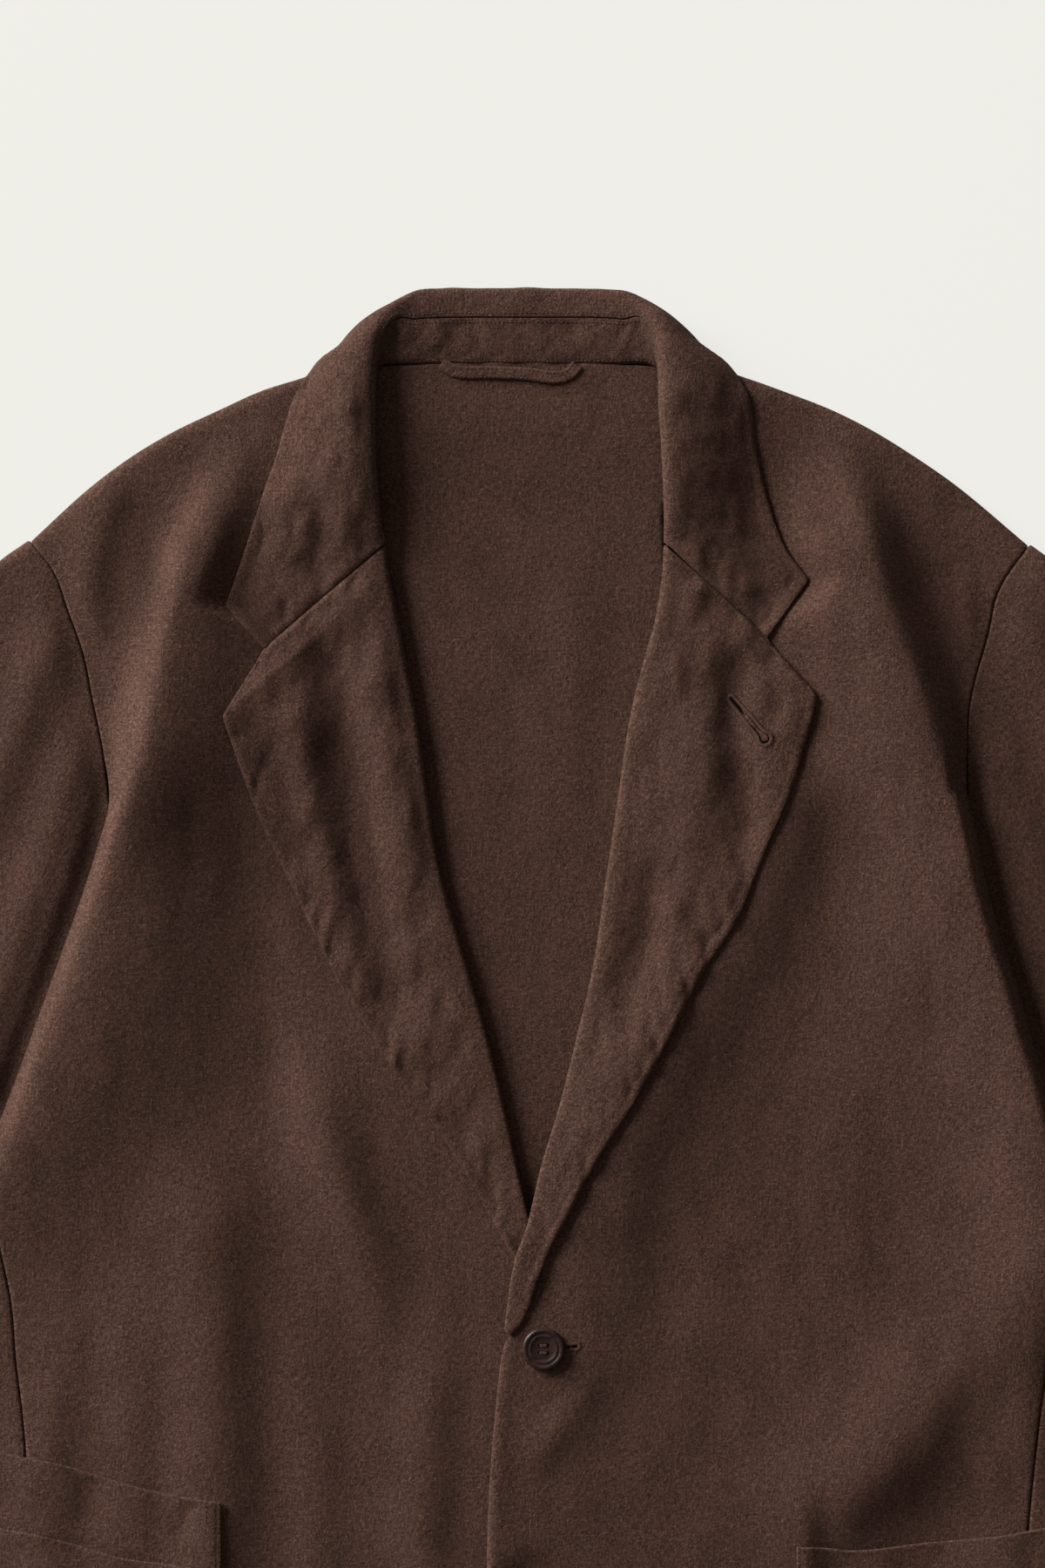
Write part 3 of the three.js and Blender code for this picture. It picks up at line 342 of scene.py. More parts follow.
SLEEVE_FOLDS = {
    "right": [
        ([(-222, 262), (-219, 240), (-228, 212), (-240, 180), (-250, 150), (-262, 110)], 2.6, 10, 11, 0.2, 0.4),
        ([(-203, 200), (-212, 168), (-221, 138), (-232, 104), (-248, 60), (-300, -50)], 2.4, 12, 9, 0.1, 0.3),
        ([(-262, 236), (-290, 178), (-318, 118)], 2.0, 12, 14, 0.3, 0.3),
        ([(-352, 70), (-382, -16), (-420, -110), (-452, -220)], 3.0, 14, 18, 0.2, 0.1),
        ([(-300, 20), (-336, -60), (-372, -150), (-410, -260)], 2.6, 16, 12, 0.2, 0.1),
        ([(-404, -56), (-366, -76), (-330, -112)], 2.0, 9, 11, 0.3, 0.3),
        ([(-430, -150), (-404, -166), (-372, -200)], 1.6, 8, 9, 0.3, 0.3),
    ],
    "left": [
        ([(232, 256), (246, 214), (262, 168), (284, 118)], 2.4, 12, 9, 0.2, 0.4),
        ([(222, 196), (236, 140), (256, 84), (300, -20)], 2.4, 12, 10, 0.1, 0.3),
        ([(286, 214), (308, 168), (332, 110)], 1.8, 14, 12, 0.3, 0.3),
        ([(350, 74), (384, -16), (420, -110), (452, -215)], 3.0, 16, 14, 0.2, 0.1),
        ([(300, 30), (338, -60), (372, -150), (412, -258)], 2.4, 14, 12, 0.2, 0.1),
        ([(404, -46), (370, -80), (334, -112)], 2.0, 10, 10, 0.3, 0.3),
        ([(436, -150), (408, -172), (380, -204)], 1.6, 8, 9, 0.3, 0.3),
    ],
}
BACK_FOLDS = [
    ([(-44, 300), (-30, 200), (-8, 60)], 1.1, 14, 22, 0.3, 0.3),
    ([(30, 330), (26, 220), (14, 90)], 1.0, 20, 14, 0.3, 0.3),
    ([(-30, 250), (-4, 218), (18, 170)], 0.9, 12, 12, 0.3, 0.3),
    ([(10, 262), (24, 240), (30, 200)], 0.8, 10, 9, 0.3, 0.3),
]
LAPEL_FOLDS = {
    "right": [
        ([(-90, 242), (-86, 210), (-81, 172), (-75, 137), (-68, 102), (-60, 70), (-51, 40)], -4.6, 14, 11,
         0.12, 0.14),
        ([(-108, 214), (-101, 178), (-93, 144), (-84, 110), (-74, 80), (-62, 54)], 3.4, 10, 12, 0.14, 0.2),
        ([(-70, 240), (-65, 205), (-59, 168), (-53, 132), (-46, 98)], 2.6, 12, 10, 0.15, 0.3),
        ([(-96, 243), (-92, 226), (-95, 206)], -1.0, 6, 6, 0.2, 0.4),
        ([(-118, 222), (-112, 205), (-110, 186)], -0.9, 4, 4, 0.2, 0.5),
        ([(-60, 100), (-52, 64), (-42, 38)], 1.4, 9, 8, 0.3, 0.4),
    ],
    "left": [
        ([(108, 232), (102, 222), (99, 200), (102, 172), (106, 148), (104, 110)], -3.4, 9, 8, 0.15, 0.3),
        ([(115, 230), (118, 212), (124, 192)], -1.3, 4, 5, 0.2, 0.4),
        ([(91, 256), (88, 245), (82, 234)], -1.0, 5, 6, 0.2, 0.5),
        ([(88, 214), (84, 180), (80, 150), (72, 110)], 1.6, 12, 11, 0.3, 0.3),
        ([(66, 150), (60, 110), (52, 66), (44, 30)], -3.0, 9, 9, 0.3, 0.3),
        ([(84, 92), (66, 60), (48, 26), (30, -10), (16, -44)], 1.5, 12, 8, 0.2, 0.3),
    ],
}
COLLAR_FOLDS = [
    ([(-94, 304), (-94, 282), (-97, 256)], -1.7, 5, 7, 0.3, 0.2),
    ([(-110, 254), (-110, 240)], -1.2, 3, 3, 0.3, 0.2),
    ([(-108, 318), (-110, 290), (-115, 262)], 1.2, 8, 8, 0.3, 0.2),
    ([(-80, 356), (-80, 328), (-82, 298), (-86, 268)], 2.4, 22, 9, 0.2, 0.3),
    ([(103, 322), (107, 296), (110, 270), (115, 240)], -1.5, 7, 8, 0.3, 0.15),
    ([(90, 340), (88, 318), (86, 300)], 0.9, 9, 9, 0.3, 0.3),
    ([(94, 300), (93, 280), (96, 262)], -0.8, 6, 8, 0.3, 0.3),
    ([(-92, 372), (-98, 350), (-100, 330)], -0.9, 5, 7, 0.3, 0.3),
    ([(86, 374), (96, 356), (100, 340)], -0.8, 6, 5, 0.3, 0.3),
]


def x_at(outline, y):
    """The x of an outline at a height y; outlines run downwards."""
    outline = np.asarray(outline, float)[::-1]
    return np.interp(y, outline[:, 1], outline[:, 0])


# ---------------------------------------------------------------- heights of the layers


def neck_lift(x, y):
    return 2.8 * ease((y - 290) / 56) * ease((134 - np.abs(x)) / 22)


def uneven(x, y, seed, size=1.0):
    """The small unevenness of soft cloth that lies flat."""
    wide = 0.8 * noise(x / 30, y / 95, seed) + 0.34 * noise(x / 13, y / 34, seed + 1)
    return size * (wide + 0.11 * noise(x / 5.5, y / 9.0, seed + 2))


def front_height(side, x, y):
    outline = OUTLINES[side]
    top_of_edge, end_of_edge = outline["body_edge"][0][1], outline["body_edge"][-1][1]
    folds = fold_height(FRONT_FOLDS[side], x, y) + uneven(x, y, seed=11 if side == "left" else 21)
    # Folds are weaker beside the armhole's seam, and where the fronts overlap.
    from_seam = np.abs(x - x_at(outline["armhole"], y))
    folds = np.where(y > top_of_edge, folds * mix(0.25, 1, ease(from_seam / 12)), folds)
    lift = 0.0
    if side == "right":
        folds = np.where(y < OVERLAP_TOP, folds * ease((-8 - x) / 24), folds)
    else:
        over_right = ease((78 - x) / 50) * ease((-14 - y) / 30)
        lift = over_right * (CLOTH + 0.8 + 2.6 * ease((y + 128) / 26))
    # Under the collar and the lapel a front lies flatter and a little lower.
    inside = (x - x_at(COVER_EDGE[side], y)) * -SIGN[side]
    upper = ease((y - 225) / 30)
    below = ease((y + 60) / 60)
    flatter = ease((inside + mix(-4, 18, upper)) / mix(20, 22, upper)) * below
    height = FRONT_HEIGHT + folds * (1 - 0.88 * flatter) - 2.0 * ease((inside - 2) / 12) * below + lift
    if side == "left":
        for button in BUTTONS:
            low, high = (corner - OFFSET for corner in box_of(button))
            away = np.hypot(x - (low[0] + high[0]) / 2, y - (low[1] + high[1]) / 2)
            height = mix(height, low[2] - CLOTH / 2 - 0.15, ease((BUTTON_FLAT - away) / BUTTON_FADE))
    from_edge = np.abs(x - x_at(outline["body_edge"], y))
    beside_edge = (y <= top_of_edge) & (y > end_of_edge)
    return np.where(beside_edge, mix(EDGE_HEIGHT, height, ease(from_edge / 8)), height)


def sleeve_height(side, x, y):
    outline = OUTLINES[side]
    folds = fold_height(SLEEVE_FOLDS[side], x, y) + uneven(x, y, seed=31 if side == "left" else 41)
    seam = np.minimum(
        along_line(x, y, outline["armhole"])[0],
        along_line(x, y, [outline["body_edge"][0], *outline["armpit"]])[0],
    )
    free = mix(FRONT_HEIGHT, SLEEVE_HEIGHT + folds, ease(seam / 13))
    outside = (x - x_at(outline["body_edge"], y)) * SIGN[side]
    below_seam = ease((outline["body_edge"][0][1] - y) / 18 + 1)
    return mix(free, TUCKED_HEIGHT, below_seam * (1 - ease((outside - 2) / 9)))


# ---------------------------------------------------------------- walls of cloth


def normals_of(grid):
    down = np.gradient(grid, axis=0)
    across = np.gradient(grid, axis=1)
    normal = np.cross(across, down)
    return normal / np.maximum(np.linalg.norm(normal, axis=-1, keepdims=True), 1e-9)


def from_edges(grid, sides):
    """Each point's distance to the nearest of the named open edges: top, bottom, first, last."""
    down, across = reached(grid), reached(grid, 1)
    found = {"top": down, "bottom": down[-1:] - down, "first": across, "last": across[:, -1:] - across}
    return np.minimum.reduce([found[side] for side in sides])


def wall(name, grid, thickness, grain, radius=0.7, **radii):
    """A closed thin shell about a grid of points. radius is how far in its open edges are rounded, and
    top, bottom, first or last give other widths for one edge. grain holds each point's place in the
    cloth, across and along its threads, in millimetres."""
    rows, columns = grid.shape[:2]
    share = np.ones((rows, columns))
    for side in ("top", "bottom", "first", "last"):
        inside = np.clip(from_edges(grid, [side]) / radii.get(side, radius), 0, 1)
        share = np.minimum(share, np.maximum(np.sqrt(1 - (1 - inside) ** 2), 0.3))
    out = normals_of(grid) * (share * thickness / 2)[..., None]
    points = np.concatenate([layer.reshape(-1, 3) for layer in (grid + out, grid - out)])
    over = np.arange(rows * columns).reshape(rows, columns)
    under = over + rows * columns
    faces = np.concatenate([np.stack(quads, -1).reshape(-1, 4) for quads in (
        (over[:-1, :-1], over[1:, :-1], over[1:, 1:], over[:-1, 1:]),
        (under[:-1, :-1], under[:-1, 1:], under[1:, 1:], under[1:, :-1]),
        (over[:-1, 0], under[:-1, 0], under[1:, 0], over[1:, 0]),
        (over[1:, -1], under[1:, -1], under[:-1, -1], over[:-1, -1]),
        (over[0, 1:], under[0, 1:], under[0, :-1], over[0, :-1]),
        (over[-1, :-1], under[-1, :-1], under[-1, 1:], over[-1, 1:]),
    )])
    a, b, c, d = (points[faces[:, i]] for i in range(4))
    volume = (np.cross(a, b) * c).sum() + (np.cross(a, c) * d).sum()
    if volume < 0:
        faces = faces[:, ::-1]
    mesh = new_mesh(name, points, faces.tolist(), LINEN)
    mesh.shade_smooth()
    corner = np.zeros(len(mesh.loops), int)
    mesh.loops.foreach_get("vertex_index", corner)
    grain = np.concatenate([grain.reshape(-1, 2)] * 2)
    mesh.uv_layers.new(name="Grain").data.foreach_set("uv", (grain[corner] * MM).ravel())
    return finish_piece(mesh, name)


def new_mesh(name, points, faces, material=None):
    mesh = bpy.data.meshes.new(name)
    mesh.from_pydata(((points + OFFSET) * MM).tolist(), [], faces)
    if material:
        mesh.materials.append(material)
    return mesh


def finish_piece(mesh, node=None):
    """The mesh as a piece of the jacket, in the place of its plain solid if it has one."""
    piece = bpy.data.objects.new(f"{node}_finished" if node else mesh.name, mesh)
    bpy.context.scene.collection.objects.link(piece)
    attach(piece, "root")
    if node:
        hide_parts(node)
    return piece


def turned_grain(grid, degrees, shift):
    """Straight threads across a piece, turned from the jacket's own axes."""
    turn = math.radians(degrees)
    x, y = xy(grid)
    across = x * math.cos(turn) + y * math.sin(turn)
    return np.stack([across, y * math.cos(turn) - x * math.sin(turn)], -1) + shift


# ---------------------------------------------------------------- materials


def join(tree, socket, value):
    """Sets an input to a plain value, or links another node's output to it."""
    if isinstance(value, bpy.types.NodeSocket):
        tree.links.new(value, socket)
    else:
        socket.default_value = value


def add(tree, kind, inputs=None, **settings):
    """A node with its settings, and its inputs by name or number."""
    node = tree.nodes.new(kind)
    for key, value in settings.items():
        setattr(node, key, value)
    for key, value in (inputs or {}).items():
        join(tree, node.inputs[key], value)
    return node


def calc(tree, operation, *values):
    return add(tree, "ShaderNodeMath", dict(enumerate(values)), operation=operation).outputs[0]


def stretched(tree, vector, scale):
    return add(tree, "ShaderNodeMapping", {"Vector": vector, "Scale": scale}).outputs[0]


def grain_noise(tree, vector, scale, detail=2.0, roughness=0.5, distortion=0.0):
    return add(tree, "ShaderNodeTexNoise", {
        "Vector": vector, "Scale": scale, "Detail": detail, "Roughness": roughness, "Distortion": distortion,
    }).outputs[0]


def remap(tree, value, low_in, high_in, low_out=0.0, high_out=1.0):
    return add(tree, "ShaderNodeMapRange", {
        "Value": value, "From Min": low_in, "From Max": high_in, "To Min": low_out, "To Max": high_out,
    }).outputs[0]


def blend_colour(tree, share, a, b):
    return add(tree, "ShaderNodeMix", {"Factor": share, 6: a, 7: b}, data_type="RGBA").outputs[2]


def bumped(tree, height, strength, distance):
    return add(
        tree, "ShaderNodeBump", {"Height": height, "Strength": strength, "Distance": distance},
    ).outputs["Normal"]


def node_group(name, kind, inputs, outputs):
    """An empty group of nodes with named sockets: the tree, what comes in and what goes out."""
    tree = bpy.data.node_groups.new(name, kind)
    for label, socket_kind, *value in inputs:
        socket = tree.interface.new_socket(label, in_out="INPUT", socket_type=f"NodeSocket{socket_kind}")
        if value:
            socket.default_value = value[0]
    for label, socket_kind in outputs:
        tree.interface.new_socket(label, in_out="OUTPUT", socket_type=f"NodeSocket{socket_kind}")
    return tree, tree.nodes.new("NodeGroupInput").outputs, tree.nodes.new("NodeGroupOutput").inputs


def make_weave_group():
    """Plain weave of uneven linen yarns: a height, and how thick the yarn is here."""
    tree, given, result = node_group(
        "Linen weave", "ShaderNodeTree", [("Vector", "Vector"), ("Yarn", "Float", 0.00055)],
        [("Height", "Float"), ("Slub", "Float")],
    )
    vector, yarn = given["Vector"], given["Yarn"]
    wobble = calc(tree, "MULTIPLY", calc(tree, "SUBTRACT", grain_noise(tree, vector, 420, 2), 0.5), 2.6)
    split = add(tree, "ShaderNodeSeparateXYZ", {0: vector})
    waves = []
    for axis in (0, 1):
        turns = calc(tree, "MULTIPLY", calc(tree, "DIVIDE", split.outputs[axis], yarn), 2 * math.pi)
        waves.append(calc(tree, "SINE", calc(tree, "ADD", turns, wobble)))
    down, over = (
        grain_noise(tree, stretched(tree, vector, scale), 1, 3, 0.65) for scale in ((950, 320, 1), (360, 950, 1))
    )
    slub = calc(tree, "MULTIPLY_ADD", down, 0.5, calc(tree, "MULTIPLY", over, 0.5))
    join(tree, result["Height"], calc(tree, "MULTIPLY_ADD", calc(tree, "MULTIPLY", *waves), 0.12, slub))
    join(tree, result["Slub"], slub)
    return tree


def make_nap_group():
    """The brushed surface: short raised fibres in clumps."""
    tree, given, result = node_group(
        "Brushed nap", "ShaderNodeTree", [("Vector", "Vector")], [("Height", "Float"), ("Fibre", "Float")],
    )
    clumps = grain_noise(tree, stretched(tree, given["Vector"], (1, 0.9, 1)), 330, 3, 0.6, 0.2)
    fine = grain_noise(tree, given["Vector"], 1100, 3, 0.7, 0.2)
    join(tree, result["Height"], calc(tree, "MULTIPLY_ADD", clumps, 0.8, calc(tree, "MULTIPLY", fine, 0.8)))
    join(tree, result["Fibre"], remap(tree, fine, 0.52, 0.72))
    return tree


def make_heather_group():
    """Uneven dye: broad warm and cool areas, dark specks and lighter fibres."""
    shades = [("Ground", (0.05, 0.03, 0.02)), ("Warm", (0.07, 0.035, 0.026)), ("Dark", (0.03, 0.018, 0.014)),
              ("Light", (0.12, 0.08, 0.065))]
    tree, given, result = node_group(
        "Heathered dye", "ShaderNodeTree",
        [("Vector", "Vector"), ("Slub", "Float", 0.5), ("Fibre", "Float", 0.0),
         *[(name, "Color", (*shade, 1)) for name, shade in shades]],
        [("Color", "Color")],
    )
    vector = given["Vector"]
    broad = grain_noise(tree, vector, 34, 4, 0.6)
    blotch = grain_noise(tree, stretched(tree, vector, (84, 42, 1)), 1, 5, 0.62)
    clump = grain_noise(tree, vector, 520, 3, 0.7, 0.3)
    speck = grain_noise(tree, vector, 1350, 2, 0.7)
    colour = given["Ground"]
    # What each share of the next shade follows, and the values between which it rises to its most.
    for mask, low, high, most, shade in (
        (broad, 0.38, 0.62, 1, "Warm"), (blotch, 0.42, 0.68, 0.5, "Dark"), (clump, 0.46, 0.66, 0.85, "Dark"),
        (speck, 0.52, 0.68, 0.6, "Dark"), (given["Slub"], 0.48, 0.66, 0.4, "Light"),
    ):
        colour = blend_colour(tree, remap(tree, mask, low, high, 0, most), colour, given[shade])
    colour = blend_colour(tree, calc(tree, "MULTIPLY", given["Fibre"], 0.66), colour, given["Light"])
    join(tree, result["Color"], colour)
    return tree


WEAVE, NAP, HEATHER = make_weave_group(), make_nap_group(), make_heather_group()


def make_material(name, paint):
    """A material whose shader takes what paint returns for its tree, by the names of the inputs."""
    material = bpy.data.materials.new(name)
    material.use_nodes = True
    tree = material.node_tree
    shader = tree.nodes["Principled BSDF"]
    for key, value in paint(tree).items():
        join(tree, shader.inputs[key], value)
    return material


def paint_paper(_):
    return {
        "Base Color": (0.10, 0.099, 0.092, 1), "Roughness": 1.0, "Specular IOR Level": 0.0,
        "Emission Color": (0.758, 0.756, 0.718, 1), "Emission Strength": 1.0,
    }


def paint_linen(tree):
    uv = add(tree, "ShaderNodeUVMap", uv_map="Grain").outputs[0]
    weave = add(tree, "ShaderNodeGroup", node_tree=WEAVE)
    nap = add(tree, "ShaderNodeGroup", node_tree=NAP)
    for group in (weave, nap):
        join(tree, group.inputs["Vector"], uv)
    dye = add(tree, "ShaderNodeGroup", node_tree=HEATHER)
    for key, value in {
        "Vector": uv, "Slub": weave.outputs["Slub"], "Fibre": nap.outputs["Fibre"],
        "Ground": (0.062, 0.0340, 0.0248, 1), "Warm": (0.075, 0.0382, 0.0292, 1),
        "Dark": (0.028, 0.0150, 0.0112, 1), "Light": (0.200, 0.112, 0.087, 1),
    }.items():
        join(tree, dye.inputs[key], value)
    height = calc(tree, "MULTIPLY_ADD", weave.outputs["Height"], 0.5, nap.outputs["Height"])
    return {
        "Base Color": dye.outputs["Color"], "Roughness": 0.94, "Specular IOR Level": 0.06, "Sheen Weight": 0.05,
        "Sheen Roughness": 0.5, "Sheen Tint": (0.62, 0.44, 0.37, 1), "Normal": bumped(tree, height, 0.9, 0.0012),
    }


def mottled(tree, scale, detail, distortion, low, high, dark, light):
    """Two shades, blended by a fine noise on the piece itself."""
    where = add(tree, "ShaderNodeTexCoord").outputs["Object"]
    share = remap(tree, grain_noise(tree, where, scale, detail, 0.6, distortion), low, high)
    return where, blend_colour(tree, share, (*dark, 1), (*light, 1))


def paint_thread(tree):
    _, colour = mottled(tree, 2600, 2, 0, 0.35, 0.65, (0.050, 0.028, 0.021), (0.105, 0.060, 0.047))
    return {"Base Color": colour, "Roughness": 0.8, "Specular IOR Level": 0.12}


# Painted shade: a near-black colour that stands in for the shadow inside a buttonhole's opening.
def paint_slit_shade(tree):
    _, colour = mottled(tree, 900, 2, 0, 0.3, 0.7, (0.004, 0.002, 0.002), (0.010, 0.006, 0.005))
    return {"Base Color": colour, "Roughness": 1.0, "Specular IOR Level": 0.0}


def paint_horn(tree):
    where, colour = mottled(tree, 95, 4, 2.2, 0.4, 0.7, (0.012, 0.0062, 0.0056), (0.042, 0.0205, 0.0170))
    wear = grain_noise(tree, where, 1400, 3, 0.6)
    return {
        "Base Color": colour, "Specular IOR Level": 0.24, "Roughness": remap(tree, wear, 0.3, 0.7, 0.3, 0.46),
        "Normal": bumped(tree, wear, 0.2, 0.0001),
    }


LINEN = make_material("brushed linen", paint_linen)
THREAD = make_material("sewing thread", paint_thread)
SLIT_SHADE = make_material("slit shade", paint_slit_shade)
HORN = make_material("dark horn", paint_horn)
make_stage()

# ---------------------------------------------------------------- panels

# Places close to a free edge, and close to a sewn seam with how far the cloth has dropped there.
EDGE_NEAR = np.array([0, 0.25, 0.6, 1.1, 1.8, 2.8, 4.2])
SEAM_NEAR = np.array([0, 0, 0.08, 0.3, 0.6, 1.6, 3.0])
SEAM_DROP = np.array([2.0, 0.65, 0.33, 0.1, 0, 0, 0])
SEAM_INSET = 0.9
ROUNDING = 0.55  # how far in the edges of the big pieces are rounded
PANEL_STEP = 3.2
HIDDEN_NEAR = [0, 0.6, 1.6, 3.2]
BACK_LENGTH, BACK_WIDTH = 740, 560


def across_places(first, last, count):
    """Places across each row of a panel: those near its first side, even steps, those near its last."""
    last = 1 - last[:, ::-1]
    return np.hstack([first, mix(first[:, -1:], last[:, :1], np.arange(1, count)[None] / count), last])


def widths(paths, v):
    return np.linalg.norm(patch(*paths, 0.0, v) - patch(*paths, 1.0, v), axis=-1)[:, None]


def round_over(distance, radius, depth):
    """How far a soft edge drops within its radius."""
    inside = np.clip(distance / radius, 0, 1)
    return depth * (1 - np.sqrt(1 - (1 - inside) ** 2))


def inner_side(side):
    """A front's inner edge: the neckline, what lies under the lapel's roll, and the closing edge."""
    outline = OUTLINES[side]
    under = [
        (x + SIGN[side] * (turn + mix(1.26, 2.16, ease((6 - turn) / 2))), y)
        for x, y, _, _, _, _, turn in LAPEL_ROWS[side]
    ]
    return [*outline["neckline"], *under, *outline["front_edge"]]


def front_piece(side):
    outline, inner = OUTLINES[side], inner_side(side)
    body_edge = outline["body_edge"]
    outer = [(x - SIGN[side] * SEAM_INSET, y)
             for x, y in (*outline["armhole"], *body_edge[1:], *outline["side_seam"])]
    bottom = [outer[-1], *outline["front_corner"][::-1], inner[-1]]
    shoulder = [outer[0], *outline["shoulder"][1:]]
    paths = (Path(shoulder), Path(bottom), Path(outer), Path(inner))
    length = paths[2].length
    rows = stations(length, PANEL_STEP, EDGE_NEAR)[len(EDGE_NEAR) + 1:] / length
    rows = rows[rows > FOLD_IN[-1] / length + 0.002]
    v = np.concatenate([FOLD_IN / length, rows])[:, None]
    rise = np.concatenate([FOLD_RISE, np.ones(len(rows))])[:, None]
    width = widths(paths, v[:, 0])
    plan = patch(*paths, across_places(SEAM_NEAR / width, EDGE_NEAR / width, 84), v)
    x, y = xy(plan)
    on_edge = ease((body_edge[0][1] + 4 - y) / 12) * ease((y - body_edge[-1][1] + 6) / 10)
    from_body_edge = along_line(x, y, rounded(body_edge, 4))[0] - SEAM_INSET
    drop = np.zeros(x.shape)
    drop[:, :len(SEAM_DROP)] = SEAM_DROP
    drop[:, 0] -= SEAM_DROP[0] * on_edge[:, 0]
    drop[:, 1:] *= 1 - on_edge[:, 1:]
    from_closing = along_line(x, y, rounded(outline["front_edge"], 4))[0]
    height = front_height(side, x, y) - on_edge * round_over(from_body_edge, 2.4, 1.5) - drop
    height += 0.35 * np.exp(-((from_closing - 3) / 3) ** 2) - round_over(from_closing, 1.8, 0.7)
    lift = neck_lift(x, y)
    grid = np.dstack([plan, mix(FLOOR + lift, height + 0.3 * lift, rise)])
    grain = turned_grain(grid, 0, (700 if side == "left" else 0, 0))
    return wall(f"front_{side}", grid, CLOTH, grain, ROUNDING), grid


def back_piece():
    def half(side):
        """One side of the back from the shoulder down, and its top edge from there to the neck's middle."""
        outline, sign = OUTLINES[side], SIGN[side]
        inset = lambda points, by: [(x - sign * by, y) for x, y in points]
        armhole = [point for point in outline["armhole"] if point[1] < outline["armhole"][0][1] - RETURN_WIDTH]
        under = [(float(x_at(outline["sleeve_inner"], y)), y) for y in (0, -24)]
        down = [*inset(armhole, 3.6), *inset([*outline["armpit"], *under], 3.9),
                *inset(outline["body_fold"][1:], RETURN_WIDTH + 1.8)]
        x, y = outline["neckline"][1]
        corner = [(x - sign * a, y + b) for a, b in ((-3.5, -2.6), (3.2, -1.2), (2.8, 9.6), (9, 11.6))]
        top = [down[0], *[(x - 6.6 * sign, y - 11.2) for x, y in outline["shoulder"][1:-2]], *corner]
        return [*down, (down[-1][0], BACK_HEM_Y)], top

    (outer, outer_top), (inner, inner_top) = half("right"), half("left")
    top = [*outer_top, (1, 364.4), *inner_top[::-1]]
    paths = (Path(top, False), Path([outer[-1], inner[-1]], False), Path(outer), Path(inner))
    v = stations(BACK_LENGTH, 5.0, HIDDEN_NEAR) / BACK_LENGTH
    u = stations(BACK_WIDTH, 4.5, HIDDEN_NEAR) / BACK_WIDTH
    plan = patch(*paths, u[None], v[:, None])
    x, y = xy(plan)
    seen = ease((90 - np.abs(x)) / 30) * ease((y + 60) / 40)
    folds = np.maximum(fold_height(BACK_FOLDS, x, y) + 0.5 * uneven(x, y, seed=51) + 0.35, 0) * seen
    grid = np.dstack([plan, FLOOR + neck_lift(x, y) + folds])
    return wall("back", grid, CLOTH, turned_grain(grid, 0, (1500, 0)))


def side_piece(side):
    outline = OUTLINES[side]
    seam = Path([(x + SIGN[side] * SEAM_INSET, y) for x, y in outline["side_seam"]])
    v = stations(seam.length, 3.6, EDGE_NEAR[:5]) / seam.length
    start, end = seam.at(v), Path(outline["body_fold"]).at(v)
    width = np.linalg.norm(end - start, axis=-1)[:, None]
    near, turned_in = SEAM_NEAR[None, :5] / width, FOLD_IN / width
    near = near * np.minimum(1, 0.5 * (1 - turned_in[:, -1:]) / near[:, -1:])
    t = across_places(near, turned_in, count=12)
    rise = np.concatenate([np.ones(t.shape[1] - len(FOLD_RISE)), FOLD_RISE[::-1]])[None]
    plan = start[:, None] * (1 - t[..., None]) + end[:, None] * t[..., None]
    x, y = xy(plan)
    below_top = y - outline["body_fold"][0][1]
    floor = mix(FLOOR, EDGE_HEIGHT, ease((below_top + 46) / 20))
    height = front_height(side, x, y)
    over_sleeve = ease((below_top[:, :5] + 60) / 30)
    height[:, :5] -= SEAM_DROP[:5] * (1 - 0.6 * over_sleeve)
    grid = np.dstack([plan, mix(floor, height, rise)])
    grain = turned_grain(grid, 4 * SIGN[side], (300, 900))
    return wall(f"side_panel_{side}", grid, CLOTH, grain, ROUNDING)


def sleeve_paths(side, head_inset):
    outline = OUTLINES[side]
    head = [(x + SIGN[side] * head_inset, y) for x, y in (*outline["armhole"], *outline["armpit"])]
    outer = [head[0], *outline["sleeve_outer"][1:]]
    inner = [head[-1], *outline["sleeve_inner"][1:]]
    return Path(head), Path([outer[-1], inner[-1]], False), Path(outer), Path(inner)


def upper_sleeve(side):
    paths = sleeve_paths(side, SEAM_INSET)
    sign, length = SIGN[side], paths[2].length
    v = np.concatenate([SEAM_NEAR, stations(length, PANEL_STEP, EDGE_NEAR)[len(EDGE_NEAR):]]) / length
    turned_in = FOLD_IN / mix(paths[0].length, widths(paths, v), ease(v * 4)[:, None])
    u = across_places(turned_in, turned_in, count=55)
    rise = np.concatenate([FOLD_RISE, np.ones(u.shape[1] - 2 * len(FOLD_RISE)), FOLD_RISE[::-1]])[None]
    plan = patch(*paths, u, v[:, None])
    height = sleeve_height(side, *xy(plan))
    head = height[:len(SEAM_DROP)]
    head -= SEAM_DROP[:, None] * (0.15 + 0.85 * ease((head - TUCKED_HEIGHT) / 1.5))
    grid = np.dstack([plan, mix(FLOOR, height, rise)])
    grain = turned_grain(grid, 25 * sign, (2300 + 400 * sign, 0))
    return wall(f"sleeve_upper_{side}", grid, CLOTH, grain, ROUNDING)


def under_sleeve(side):
    paths = sleeve_paths(side, -2.6)
    sign, length = SIGN[side], paths[2].length
    v = stations(length, 12, HIDDEN_NEAR) / length
    margin = (RETURN_WIDTH + 0.9) / widths(paths, v)
    u = mix(margin, 1 - margin, stations(100, 7, [0, 0.8, 2])[None] / 100)
    plan = patch(*paths, u, v[:, None])
    grid = np.dstack([plan, np.full(u.shape, FLOOR)])
    return wall(f"sleeve_under_{side}", grid, CLOTH, turned_grain(grid, 25 * sign, (3300, 400 * sign)))


# ---------------------------------------------------------------- lapels and collar

